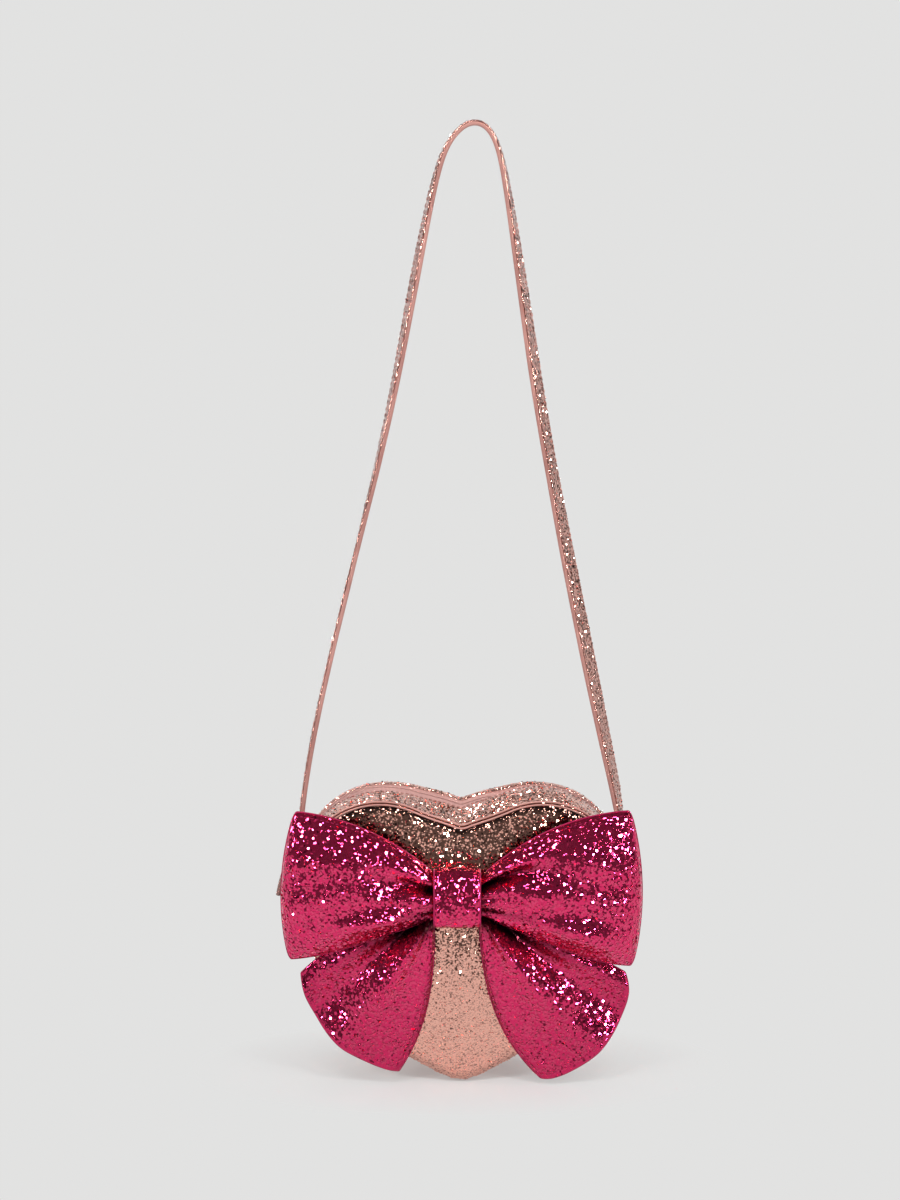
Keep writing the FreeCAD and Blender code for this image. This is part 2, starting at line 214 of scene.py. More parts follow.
class PurseColours(PropertyGroup):
    """Colours of the purse's finishes."""

    rose_flake: FloatVectorProperty(
        name="Rose flake", description="Glitter of the bag", subtype="COLOR", default=(0.96, 0.50, 0.40)
    )
    strap_flake: FloatVectorProperty(
        name="Strap flake", description="Glitter of the strap", subtype="COLOR", default=(0.72, 0.40, 0.34)
    )
    fuchsia_flake: FloatVectorProperty(
        name="Fuchsia flake", description="Glitter of the bow", subtype="COLOR", default=(0.84, 0.038, 0.160)
    )
    rose_vinyl: FloatVectorProperty(
        name="Rose vinyl", description="Seam edges and backing", subtype="COLOR", default=(0.70, 0.35, 0.30)
    )
    zip_cloth: FloatVectorProperty(
        name="Zip cloth", description="Tapes of the zip", subtype="COLOR", default=(0.84, 0.47, 0.42)
    )
    lining: FloatVectorProperty(
        name="Lining", description="Cloth inside the bag", subtype="COLOR", default=(0.62, 0.33, 0.31)
    )
    pale: FloatVectorProperty(
        name="Studio", description="Floor and background", subtype="COLOR", default=(0.76, 0.76, 0.755)
    )


def sizes():
    """The purse's sizes in this scene."""
    return bpy.context.scene.purse_sizes


def colours():
    """The purse's colours in this scene."""
    return bpy.context.scene.purse_colours


# Plain helpers for arrays of points
def turns(count):
    """Even angles once round."""
    return np.linspace(0.0, 2 * math.pi, count, endpoint=False)


def unit(vectors):
    """Vectors divided by their length."""
    return vectors / np.linalg.norm(vectors, axis=-1, keepdims=True)


def distances(line):
    """Distance of each point of a line from its start, along the line."""
    return np.concatenate([[0.0], np.cumsum(np.linalg.norm(np.diff(line, axis=0), axis=1))])


def read_at(at, run, values):
    """Values given along a run, read at other places between them."""
    return np.stack([np.interp(at, run, column) for column in values.T], -1)


def bell(value, middle, width):
    """A bell curve of height 1: e to the power of minus the squared distance in widths."""
    return np.exp(-(((value - middle) / width) ** 2))


def clipped(value):
    """A value held between 0 and 1."""
    return np.clip(value, 0.0, 1.0)


def rising(value, start, end):
    """A share that rises evenly from 0 to 1 between two values."""
    return clipped((value - start) / (end - start))


def eased(value, start, end):
    """A share that rises smoothly from 0 to 1 between two values: 3 squares less 2 cubes."""
    share = rising(value, start, end)
    return share**2 * (3.0 - 2.0 * share)


def squared_off(wave, power):
    """A sine or cosine with its sign kept and its size raised to a power, to square off a round shape."""
    return np.sign(wave) * np.abs(wave) ** power


# Heart edge
def heart_edge():
    """The heart's edge: arcs about the tip, a side, a lobe and the cleft, joined by straight runs and
    mirrored."""
    turn = math.pi / 2 - TIP_SLOPE
    side_x = HALF_WIDTH - SIDE_RADIUS
    lobe_x = HALF_WIDTH - LOBE_RADIUS
    lobe_z = TIP_RADIUS + (SIDE_RADIUS - TIP_RADIUS + side_x * math.cos(turn)) / math.sin(turn)
    rise = CLEFT_RADIUS + LOBE_RADIUS - lobe_x * math.sin(CLEFT_SLOPE)
    cleft_z = lobe_z + rise / math.cos(CLEFT_SLOPE)
    arcs = (
        (0.0, TIP_RADIUS, TIP_RADIUS, -math.pi / 2, -turn, 1),
        (side_x, lobe_z, SIDE_RADIUS, -turn, 0.0, 1),
        (lobe_x, lobe_z, LOBE_RADIUS, 0.0, math.pi / 2 + CLEFT_SLOPE, 1),
        (0.0, cleft_z, CLEFT_RADIUS, CLEFT_SLOPE - math.pi / 2, -math.pi / 2, -1),
    )
    points, outward = [], []
    for x, z, radius, start, end, sign in arcs:
        angle = np.linspace(start, end, ARC_POINTS)
        ray = np.stack([np.cos(angle), np.sin(angle)], 1)
        points.append((x, z) + radius * ray)
        outward.append(sign * ray)
    flip = np.array((-1.0, 1.0))
    points = np.concatenate(points)
    outward = np.concatenate(outward)
    points = np.concatenate([points, points[-2::-1] * flip])
    outward = np.concatenate([outward, outward[-2::-1] * flip])
    return points, outward, distances(points)


EDGE, EDGE_OUT, EDGE_RUN = heart_edge()
PERIMETER = EDGE_RUN[-1]


def along_edge(stations):
    """Points and outward directions at distances along the heart's edge, from its tip to the right."""
    stations = np.mod(stations, PERIMETER)
    return read_at(stations, EDGE_RUN, EDGE), unit(read_at(stations, EDGE_RUN, EDGE_OUT))


def run_at(height):
    """Distance along the edge from the tip to where the right side reaches a height."""
    top = int(np.argmax(EDGE[:, 1]))
    return float(np.interp(height, EDGE[:top, 1], EDGE_RUN[:top]))


def edge_share(x, z):
    """How far points lie from the heart's centre, as a share of the way to its edge."""
    side, height = (EDGE - HEART_CENTRE).T
    angle = np.arctan2(side, height)
    order = np.argsort(angle)
    reach = np.hypot(side, height)[order]
    x, z = x - HEART_CENTRE[0], z - HEART_CENTRE[1]
    return np.hypot(x, z) / np.interp(np.arctan2(x, z), angle[order], reach)


def swell(share, z):
    """Swell of a padded panel: full at its middle, falling with a power of the share of the way to its edge.
    The power is lower at the top, which is a plain slope."""
    power = SWELL_POWER - TOP_POWER_LOSS * eased(z, *TOP_SLOPE)
    return sizes().crown * clipped(1.0 - clipped(share) ** power)


def bulge(x, z):
    """How far the front stands out below the knot, which holds it in: bell curves across and up the bag."""
    return BULGE * bell(x, 0.0, BULGE_WIDTH) * bell(z, BULGE_HEIGHT, BULGE_RISE)


def soften(points):
    """Cloth is too stiff to follow the cleft and the tip: points near them are lifted by bell curves across
    the bag, at the cleft a little by the front seam and more towards the back, but not where the zip's
    slider runs. The top strip swells over the right lobe, and its seam bends forwards over the left."""
    x, y, z = points.T
    back = rising(y, FRONT_FACE, BACK_FACE)
    inside = rising(y - FRONT_FACE, *CLEFT_FRONT)
    high = rising(z, *CLEFT_RISE) ** 2 * (1.0 - eased(z, *CLEFT_FADE))
    before_slit = 1.0 - eased(y, *SLIT)
    run = eased(x, *SLIDER_SIDE) * (1.0 - before_slit) * (1.0 - eased(y, *SLIDER_BACK))
    lift = CLEFT_LIFT[0] + CLEFT_LIFT[1] * back
    lift = lift * bell(x, 0.0, CLEFT_WIDTH[0] + CLEFT_WIDTH[1] * back) * (1.0 - run)
    swelling, bend = (
        size * bell(x, middle, width) * eased(y, *depths) * before_slit
        for size, middle, width, depths in (RIGHT_SWELL, LEFT_BEND)
    )
    low = TIP_LIFT * bell(x, 0.0, TIP_WIDTH) * clipped(1.0 - z / TIP_HEIGHT)
    return np.stack([x, y - bend * high, z + (lift + swelling) * high * inside + low], 1)


# Meshes from grids of points
def quads(rows, columns, wrap_rows=False, wrap_columns=False):
    """Corner numbers of the faces of a grid that is stored row by row, closed on itself where it wraps."""
    row, column = np.meshgrid(
        np.arange(rows if wrap_rows else rows - 1),
        np.arange(columns if wrap_columns else columns - 1),
        indexing="ij",
    )
    next_row = (row + 1) % rows * columns
    next_column = (column + 1) % columns
    row = row * columns
    faces = [row + column, row + next_column, next_row + next_column, next_row + column]
    return np.stack(faces, -1).reshape(-1, 4)


def fan(centre, ring):
    """Corner numbers of the triangles from one point to a closed ring of points."""
    return np.stack([np.full(len(ring), centre), ring, np.roll(ring, -1)], 1)


def points_inwards(points, face_groups):
    """True if the faces of a closed shape enclose a negative volume, so that they point inwards."""
    volume = 0.0
    for faces in face_groups:
        corners = points[faces] - points.mean(0)
        for k in range(1, faces.shape[1] - 1):
            volume += np.einsum("ij,ij->", corners[:, 0], np.cross(corners[:, k], corners[:, k + 1]))
    return volume < 0


def make_piece(
    name, points, face_groups, finish, body, uv=None, smooth=True, closed=True, crease=None
):
    """A mesh object at the origin with its points in the row frame, riding a body. A crease value for each
    point is painted shade: how far its colour and coat are darkened in folds, seams and shadowed places."""
    points = soften(np.asarray(points, float).reshape(-1, 3))
    if closed and points_inwards(points, face_groups):
        face_groups = [faces[:, ::-1] for faces in face_groups]
    mesh = bpy.data.meshes.new(name)
    mesh.from_pydata((points + TIP).tolist(), [], sum((faces.tolist() for faces in face_groups), []))
    if uv is not None:
        corners = np.empty(len(mesh.loops), np.int32)
        mesh.loops.foreach_get("vertex_index", corners)
        layer = mesh.uv_layers.new(name="Cloth")
        layer.data.foreach_set("uv", np.asarray(uv, np.float32).reshape(-1, 2)[corners].ravel())
    mesh.polygons.foreach_set("use_smooth", np.full(len(mesh.polygons), smooth))
    # Crease values: painted shade, which the materials read
    if crease is not None:
        layer = mesh.attributes.new("crease", "FLOAT", "POINT")
        layer.data.foreach_set("value", np.asarray(crease, np.float32).ravel())
    mesh.materials.append(finish)
    mesh.update()
    piece = bpy.data.objects.new(name, mesh)
    bpy.context.scene.collection.objects.link(piece)
    if body is not None:
        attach(piece, body)
    return piece


def bend_at_fold(piece):
    """Bakes the piece's place into its points, for a piece of the back."""
    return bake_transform(piece)


def tube_faces(rows, columns):
    """Faces of a closed profile carried along a path, with a fan over each end, whose middles come last."""
    body = quads(rows, columns, wrap_columns=True)
    first = np.arange(columns)
    last = (rows - 1) * columns + first
    return [body, fan(rows * columns, first[::-1]), fan(rows * columns + 1, last)]


def tube_piece(name, grid, finish, body, uv=None, crease=None):
    """A piece from a closed profile carried along a path, with the middle of each end as a point."""
    points = np.concatenate([grid.reshape(-1, 3), grid[:1].mean(1), grid[-1:].mean(1)])
    return make_piece(name, points, tube_faces(*grid.shape[:2]), finish, body, uv=uv, crease=crease)


def ring_piece(name, grid, finish, body):
    """A piece from a closed profile carried along a path that closes on itself."""
    faces = [quads(*grid.shape[:2], wrap_rows=True, wrap_columns=True)]
    return make_piece(name, grid, faces, finish, body)


def edge_sweep(start, end, profile, count):
    """A closed profile of (outward, depth) pairs carried along the heart's edge between two distances from
    the tip."""
    edge, out = along_edge(np.linspace(start, end, count))
    profile = np.asarray(profile, float)
    x = edge[:, :1] + out[:, :1] * profile[:, 0]
    z = edge[:, 1:] + out[:, 1:] * profile[:, 0]
    return np.stack([x, np.broadcast_to(profile[:, 1], x.shape), z], -1)


def ring_profile(outward, depth, radius, count):
    """A round profile about a point of the heart's edge."""
    angle = turns(count)
    return np.stack([outward + radius * np.cos(angle), depth + radius * np.sin(angle)], 1)


BAND_POINTS = 18


def band_profile(outward, low, high, thickness, bow=0.0):
    """A flat band between two depths: an outer face that bows out as a parabola, and an inner one a
    thickness below."""
    share = np.linspace(-1.0, 1.0, BAND_POINTS)
    depth = (low + high) / 2 + share * (high - low) / 2
    outer = outward + bow * (1.0 - share**2)
    top = np.stack([outer, depth], 1)
    return np.concatenate([top, np.stack([outer - thickness, depth], 1)[::-1]])


def cell_corners(grid):
    """The four corners of every cell of a grid, in order round the cell."""
    width = grid.shape[-1]
    corners = (grid[:-1, :-1], grid[:-1, 1:], grid[1:, 1:], grid[1:, :-1])
    return tuple(corner.reshape(-1, width) for corner in corners)


def cell_normals(corners):
    """Directions square to cells, as long as twice their area: the cross product of their diagonals."""
    a, b, c, d = corners
    return np.cross(c - a, d - b)


def round_tube(line, radius, sides):
    """Round tubes about lines of points: two directions across each line come from its own run."""
    along = unit(np.gradient(line, axis=-2))
    first = unit(np.cross(along, (0.31, 0.87, 0.38)))
    second = np.cross(along, first)
    angle = turns(sides)[:, None]
    radius = np.broadcast_to(radius, line.shape[:-1])[..., None, None]
    around = np.cos(angle) * first[..., None, :] + np.sin(angle) * second[..., None, :]
    return line[..., None, :] + radius * around


STITCH_SHARES = np.array((0.0, 0.12, 0.5, 0.88, 1.0))
STITCH_THICKNESS = np.array((0.25, 0.8, 1.0, 0.8, 0.25))
STITCH_SIDES = 6


def stitches(name, line, body, finish, step=0.0028, length=0.0019, radius=0.00027):
    """A row of stitches along a line: short closed tubes of five rings, thick in the middle."""
    run = distances(line)
    starts = np.arange(step / 2, run[-1] - length, step)
    points = read_at(starts[:, None] + length * STITCH_SHARES, run, line)
    tubes = round_tube(points, radius * STITCH_THICKNESS, STITCH_SIDES)
    ends = tubes[:, (0, -1)].mean(2)
    shapes = np.concatenate([tubes.reshape(len(starts), -1, 3), ends], 1)
    first = shapes.shape[1] * np.arange(len(starts))[:, None, None]
    groups = [
        (faces + first).reshape(-1, faces.shape[1]) for faces in tube_faces(len(STITCH_SHARES), STITCH_SIDES)
    ]
    return make_piece(name, shapes, groups, finish, body)


# Glitter: sides, area as a share of the width squared, sizes, lift, steepest slope and share of a map tile
FLAKE_SIDES = 6
FLAKE_AREA = 0.65
FLAKE_SIZES = (0.7, 1.25)
FLAKE_LIFT = 0.00012
MOST_SLOPE = 0.8
TILE_SHARE = 0.36


def scatter(
    name, grid, body, finish, slot, seed, flake, cover=0.6, wrap=False, flip=False, crease=None, **looseness
):
    """Six-sided flakes on a grid. Cells are drawn by area, a place in each by two shares, and every flake is
    turned at random and tilted against the cloth's own direction, most of them a little and some a lot."""
    rng = np.random.default_rng(sizes().seed + seed)
    if wrap:
        grid = np.concatenate([grid, grid[:, :1]], 1)
        crease = None if crease is None else np.concatenate([crease, crease[:, :1]], 1)
    corners = cell_corners(grid)
    normal = cell_normals(corners)
    area = np.linalg.norm(normal, axis=1) / 2
    count = int(cover * area.sum() / (FLAKE_AREA * flake**2))
    cell = rng.choice(len(area), count, p=area / area.sum())
    u, v = rng.random((2, count, 1))
    shares = ((1 - u) * (1 - v), (1 - u) * v, u * v, u * (1 - v))
    place = sum(share * corner[cell] for share, corner in zip(shares, corners))
    up = normal[cell] / np.maximum(2 * area[cell, None], 1e-15) * (-1.0 if flip else 1.0)
    side = unit(np.cross(up, rng.normal(size=(count, 3))))
    slope = flake_slopes(rng, place, **looseness)
    tilted = unit(up + slope * side)
    across = unit(np.cross(tilted, side))
    along = np.cross(across, tilted)
    radius = flake / 2 * rng.uniform(*FLAKE_SIZES, (count, 1, 1))
    turn = turns(FLAKE_SIDES)[None, :, None] + rng.uniform(0.0, 6.3, (count, 1, 1))
    lift = (FLAKE_LIFT + 0.35 * np.abs(slope) * radius[:, 0])[:, None]
    points = place[:, None] + up[:, None] * lift
    points = points + radius * (np.cos(turn) * along[:, None] + np.sin(turn) * across[:, None])
    faces = np.arange(FLAKE_SIDES * count).reshape(-1, FLAKE_SIDES)
    # Painted shade of the cloth, read at each flake's place
    if crease is not None:
        depths = cell_corners(crease[..., None])
        depth = sum(share * corner[cell] for share, corner in zip(shares, depths))
        crease = np.repeat(depth, FLAKE_SIDES)
    piece = make_piece(name, points, [faces], finish, body, smooth=False, closed=False, crease=crease)
    tint = piece.data.attributes.new("tint", "FLOAT", "POINT")
    tint.data.foreach_set("value", np.repeat(rng.random(count), FLAKE_SIDES).astype(np.float32))
    lay_out(piece.data, turn)
    return piece


def flake_slopes(rng, place, untidy=1.0, ruffled=1.0):
    """Slopes of flakes against their cloth: normal draws with a small spread, or a large one for the share
    that stands up, which two sines over the cloth make uneven."""
    size = sizes()
    patch = np.sin(place @ (211.0, 83.0, 97.0) + 1.3) + np.sin(place @ (-173.0, 61.0, 151.0) + 2.1)
    loose = untidy * size.loose_share * (0.35 + 0.65 * np.clip(1.0 + patch, 0.0, 3.0))[:, None]
    stands = rng.random((len(place), 1)) < loose
    spread = np.where(stands, size.loose_tilt, ruffled * size.flat_tilt)
    return np.clip(spread * rng.normal(size=(len(place), 1)), -MOST_SLOPE, MOST_SLOPE)


def lay_out(mesh, turn):
    """Gives every flake a tile of its own on a map: the flake's outline about the middle of the tile."""
    tiles = math.ceil(math.sqrt(len(turn)))
    number = np.arange(len(turn))
    middle = np.stack([number % tiles, number // tiles], 1)[:, None] + 0.5
    spot = middle + TILE_SHARE * np.concatenate([np.cos(turn), np.sin(turn)], -1)
    layer = mesh.uv_layers.new(name="OFBake")
    layer.data.foreach_set("uv", (spot / tiles).astype(np.float32).ravel())


# Finishes
COLOUR, VALUE, VECTOR = "NodeSocketColor", "NodeSocketFloat", "NodeSocketVector"
# Near black that painted shade in folds, seams and shadowed places mixes colours towards
PAINTED_SHADE_COLOUR = (0.012, 0.002, 0.004, 1.0)
LIGHT_FLAKE = (0.9, 0.5, 0.4, 1.0)
DARK_FLAKE = (0.1, 0.05, 0.04, 1.0)
PLAIN_ROSE = (0.7, 0.4, 0.3, 1.0)


def node_group(name, inputs, outputs):
    """A shader node group with named sockets, and its two end nodes."""
    tree = bpy.data.node_groups.new(name, "ShaderNodeTree")
    for label, kind, value in inputs:
        tree.interface.new_socket(name=label, in_out="INPUT", socket_type=kind).default_value = value
    for label, kind in outputs:
        tree.interface.new_socket(name=label, in_out="OUTPUT", socket_type=kind)
    return tree, tree.nodes.new("NodeGroupInput").outputs, tree.nodes.new("NodeGroupOutput").inputs


def node(tree, kind, links=None, **settings):
    """A node with its settings, and its inputs set to values or joined to other sockets."""
    made = tree.nodes.new(kind)
    for key, value in settings.items():
        setattr(made, key, value)
    for key, value in (links or {}).items():
        if isinstance(value, bpy.types.NodeSocket):
            tree.links.new(value, made.inputs[key])
        else:
            made.inputs[key].default_value = value
    return made


def maths(tree, operation, *values):
    """The socket of a sum, product or other operation on values."""
    return node(tree, "ShaderNodeMath", dict(enumerate(values)), operation=operation).outputs[0]


def vector_maths(tree, operation, *vectors):
    """The socket of an operation on vectors."""
    return node(tree, "ShaderNodeVectorMath", dict(enumerate(vectors)), operation=operation).outputs[0]


def mixed(tree, share, first, second, blend="MIX"):
    """The socket of a mix of two colours."""
    made = node(tree, "ShaderNodeMix", {0: share, 6: first, 7: second}, data_type="RGBA", blend_type=blend)
    return made.outputs[2]


def ranged(tree, value, low, high, start=0.0, end=1.0):
    """The socket of a value moved from one range to another."""
    links = {"Value": value, "From Min": start, "From Max": end, "To Min": low, "To Max": high}
    return node(tree, "ShaderNodeMapRange", links).outputs["Result"]


def clouds(tree, place, scale, detail):
    """The socket of soft noise."""
    links = {"Vector": place, "Scale": scale, "Detail": detail}
    return node(tree, "ShaderNodeTexNoise", links).outputs["Fac"]


def object_place(tree):
    """The socket of the place on the object."""
    return node(tree, "ShaderNodeTexCoord").outputs["Object"]


def own_value(tree, name):
    """The socket of a value that the piece's own points hold."""
    return node(tree, "ShaderNodeAttribute", attribute_name=name).outputs["Fac"]


def with_painted_shade(tree, colour):
    """The socket of a colour mixed towards near black by the piece's crease values: painted shade."""
    return mixed(tree, own_value(tree, "crease"), colour, PAINTED_SHADE_COLOUR)


def glitter_group(name):
    """Bed of small flakes: random cells, each with its own shade, shine and slope, and dark gaps between."""
    inputs = (
        ("Light", COLOUR, LIGHT_FLAKE),
        ("Dark", COLOUR, DARK_FLAKE),
        ("Flakes", VALUE, 700.0),
        ("Slope", VALUE, 0.6),
    )
    outputs = (("Colour", COLOUR), ("Roughness", VALUE), ("Normal", VECTOR))
    tree, given, out = node_group(name, inputs, outputs)
    place = object_place(tree)
    links = {"Vector": place, "Scale": given["Flakes"]}
    draw = node(tree, "ShaderNodeTexVoronoi", links).outputs["Color"]
    gaps = node(tree, "ShaderNodeTexVoronoi", links, feature="DISTANCE_TO_EDGE").outputs["Distance"]
    draws = node(tree, "ShaderNodeSeparateColor", {"Color": draw}).outputs
    shade = maths(tree, "MULTIPLY", draws[0], clouds(tree, place, 140.0, 3.0))
    deep = ranged(tree, shade, 1.0, 0.0, 0.01, 0.07)
    colour = mixed(tree, deep, given["Light"], given["Dark"])
    edge = ranged(tree, gaps, 0.65, 1.0, 0.0, 0.06)
    # Painted shade: the crease values darken the colour
    tree.links.new(with_painted_shade(tree, mixed(tree, edge, given["Dark"], colour)), out["Colour"])
    tree.links.new(ranged(tree, draws[1], 0.02, 0.06), out["Roughness"])
    centred = vector_maths(tree, "SUBTRACT", draw, (0.5, 0.5, 0.5))
    links = {0: centred, "Scale": given["Slope"]}
    sloped = node(tree, "ShaderNodeVectorMath", links, operation="SCALE").outputs[0]
    surface = node(tree, "ShaderNodeNewGeometry").outputs["Normal"]
    leaning = vector_maths(tree, "ADD", surface, sloped)
    tree.links.new(vector_maths(tree, "NORMALIZE", leaning), out["Normal"])
    return tree


def flake_group(name):
    """Single flakes: each flake's own draw picks a shade between two colours and how polished it is."""
    inputs = (("Light", COLOUR, LIGHT_FLAKE), ("Dark", COLOUR, DARK_FLAKE))
    tree, given, out = node_group(name, inputs, (("Colour", COLOUR), ("Roughness", VALUE)))
    draw = own_value(tree, "tint")
    colour = mixed(tree, ranged(tree, draw, 0.0, 1.0, 0.0, 0.3), given["Dark"], given["Light"])
    # Painted shade: the crease values darken the colour
    tree.links.new(with_painted_shade(tree, colour), out["Colour"])
    tree.links.new(ranged(tree, draw, 0.09, 0.03), out["Roughness"])
    return tree


def weave_group(name):
    """Woven tape: threads along and across the piece's own map, raised where they cross over."""
    inputs = (("Thread", COLOUR, PLAIN_ROSE), ("Threads", VALUE, 2400.0))
    tree, given, out = node_group(name, inputs, (("Colour", COLOUR), ("Height", VALUE)))
    place = node(tree, "ShaderNodeUVMap", uv_map="Cloth").outputs["UV"]
    links = {"Vector": place, "Scale": given["Threads"], "Distortion": 0.3}
    along, across = (
        node(tree, "ShaderNodeTexWave", links, bands_direction=direction).outputs["Fac"]
        for direction in ("X", "Y")
    )
    height = maths(tree, "MULTIPLY", along, across)
    cloud = clouds(tree, place, 140.0, 4.0)
    dark = mixed(tree, 1.0, given["Thread"], (0.62, 0.58, 0.58, 1.0), "MULTIPLY")
    woven = mixed(tree, ranged(tree, height, 0.0, 1.0, 0.0, 0.5), dark, given["Thread"])
    grey = ranged(tree, cloud, 0.85, 1.1)
    links = {0: grey, 1: grey, 2: ranged(tree, cloud, 0.87, 1.08)}
    worn = node(tree, "ShaderNodeCombineColor", links).outputs[0]
    tree.links.new(mixed(tree, 1.0, woven, worn, "MULTIPLY"), out["Colour"])
    tree.links.new(height, out["Height"])
    return tree


def grain_group(name):
    """Smooth coated cloth: fine pebble grain, cloudy shade and a patchy polish."""
    inputs = (("Base", COLOUR, PLAIN_ROSE), ("Grain", VALUE, 1500.0))
    outputs = (("Colour", COLOUR), ("Roughness", VALUE), ("Height", VALUE))
    tree, given, out = node_group(name, inputs, outputs)
    place = object_place(tree)
    links = {"Vector": place, "Scale": given["Grain"]}
    pebble = node(tree, "ShaderNodeTexVoronoi", links, feature="SMOOTH_F1").outputs["Distance"]
    cloud = clouds(tree, place, 55.0, 5.0)
    deep = mixed(tree, 1.0, given["Base"], (0.72, 0.66, 0.66, 1.0), "MULTIPLY")
    shade = ranged(tree, cloud, 0.0, 1.0, 0.3, 0.62)
    tree.links.new(mixed(tree, shade, deep, given["Base"]), out["Colour"])
    tree.links.new(ranged(tree, cloud, 0.5, 0.36, 0.3, 0.7), out["Roughness"])
    tree.links.new(pebble, out["Height"])
    return tree


GROUPS = {
    "Glitter bed": glitter_group,
    "Single flakes": flake_group,
    "Woven cloth": weave_group,
    "Fine grain": grain_group,
}
TAKEN = {"Colour": "Base Color", "Roughness": "Roughness", "Normal": "Normal"}
METAL_SHINE = 0.5
CLOTH_SHINE = 0.18
BOW_METALLIC = 0.92
COAT_ROUGHNESS = 0.04
COAT_IOR = 1.42


def opaque(colour, share=1.0):
    """A colour of the settings with full alpha, darkened to a share."""
    return (colour[0] * share, colour[1] * share, colour[2] * share, 1.0)


def finish_with(name, group, values, metallic=0.0, bump=None, coat=False, roughness=None):
    """A material, made the first time that it is asked for, whose shader takes what a node group puts out:
    the colour, the roughness and the normal or the height of a bump. A coat is clear, and painted shade
    takes it away where the piece's crease values are high."""
    found = bpy.data.materials.get(name)
    if found:
        return found
    material = bpy.data.materials.new(name)
    material.use_nodes = True
    tree = material.node_tree
    shader = tree.nodes["Principled BSDF"].inputs
    shader["Metallic"].default_value = metallic
    shader["Specular IOR Level"].default_value = METAL_SHINE if metallic else CLOTH_SHINE
    if roughness is not None:
        shader["Roughness"].default_value = roughness
    node_tree = bpy.data.node_groups.get(group) or GROUPS[group](group)
    source = node(tree, "ShaderNodeGroup", node_tree=node_tree)
    for key, value in values.items():
        source.inputs[key].default_value = value
    for label, socket in TAKEN.items():
        if label in source.outputs:
            tree.links.new(source.outputs[label], shader[socket])
    if bump:
        links = {"Strength": bump[0], "Distance": bump[1], "Height": source.outputs["Height"]}
        tree.links.new(node(tree, "ShaderNodeBump", links).outputs["Normal"], shader["Normal"])
    if coat:
        # Painted shade also takes the coat's glints away
        tree.links.new(maths(tree, "SUBTRACT", 1.0, own_value(tree, "crease")), shader["Coat Weight"])
        shader["Coat Roughness"].default_value = COAT_ROUGHNESS
        shader["Coat IOR"].default_value = COAT_IOR
    return material


def glitter_bed(name, colour, flake, dark_share, metallic=1.0):
    """Cloth covered with fine flakes of one colour."""
    values = {"Light": opaque(colour), "Dark": opaque(colour, dark_share)}
    values.update({"Flakes": 1.0 / flake, "Slope": 0.5})
    return finish_with(name, "Glitter bed", values, metallic)


def loose_flakes(name, colour, dark_share, metallic=1.0):
    """Larger flakes of one colour that stand on the bed, with a clear coat that gives their white glints."""
    values = {"Light": opaque(colour), "Dark": opaque(colour, dark_share)}
    return finish_with(name, "Single flakes", values, metallic, coat=True)


def grained(name, colour, grain, bump, metallic=0.0):
    """A smooth surface with a fine grain."""
    return finish_with(name, "Fine grain", {"Base": colour, "Grain": grain}, metallic, bump)


def woven(name, colour, threads, bump, roughness):
    """A woven cloth."""
    values = {"Thread": colour, "Threads": threads}
    return finish_with(name, "Woven cloth", values, bump=bump, roughness=roughness)


def rose_bed():
    """Glitter cloth of the bag."""
    return glitter_bed("Rose glitter bed", colours().rose_flake, sizes().bag_flake, 0.3)


def rose_flakes():
    """Single flakes on the bag."""
    return loose_flakes("Rose flakes", colours().rose_flake, 0.45)


def strap_bed():
    """Glitter cloth of the strap."""
    return glitter_bed("Strap glitter bed", colours().strap_flake, sizes().bag_flake, 0.3)


def strap_flakes():
    """Single flakes on the strap."""
    return loose_flakes("Strap flakes", colours().strap_flake, 0.4)


def fuchsia_bed():
    """Glitter cloth of the bow."""
    return glitter_bed("Fuchsia glitter bed", colours().fuchsia_flake, sizes().bow_flake, 0.25, BOW_METALLIC)


def fuchsia_flakes():
    """Single flakes on the bow."""
    return loose_flakes("Fuchsia flakes", colours().fuchsia_flake, 0.62, BOW_METALLIC)


def rose_vinyl():
    """Smooth coated cloth of the seams' edges."""
    return grained("Smooth rose vinyl", opaque(colours().rose_vinyl), 1700.0, (0.25, 0.0003))


def strap_vinyl():
    """Smooth coated cloth behind the strap, a little darker."""
    return grained("Smooth strap vinyl", opaque(colours().rose_vinyl, 0.74), 1700.0, (0.25, 0.0003))


def fuchsia_edge():
    """Edge and thread of the bow."""
    return grained("Fuchsia edge thread", (0.42, 0.012, 0.085, 1.0), 1900.0, (0.25, 0.0003))


def sewing_thread():
    """Thread of the bag and the strap."""
    return grained("Sewing thread", opaque(colours().rose_vinyl, 0.8), 2600.0, (0.4, 0.0002))


def zip_metal():
    """Metal of the zip's slider, pull and stops."""
    return grained("Rose gold metal", (0.86, 0.66, 0.58, 1.0), 900.0, (0.05, 0.0002), 1.0)


def zip_nylon():
    """Nylon of the zip's coils."""
    return grained("Zip nylon", opaque(colours().zip_cloth, 0.85), 2200.0, (0.1, 0.0001))


def zip_cloth():
    """Woven tapes of the zip."""
    return woven("Zip tape cloth", opaque(colours().zip_cloth), 420.0, (0.5, 0.0002), 0.7)


def zip_tail_cloth():
    """Woven end of the zip, darkened to a share of the tape's colour: painted shade of the bow."""
    return woven("Zip tail cloth", opaque(colours().zip_cloth, 0.42), 420.0, (0.5, 0.0002), 0.7)


def lining_cloth():
    """Woven cloth inside the bag."""
    return woven("Lining cloth", opaque(colours().lining), 260.0, (0.4, 0.0003), 0.8)


# Bag
AROUND = 360
RING_POINTS = 420
ZIP_START = run_at(FOLD_HEIGHT)
ZIP_END = PERIMETER - ZIP_START

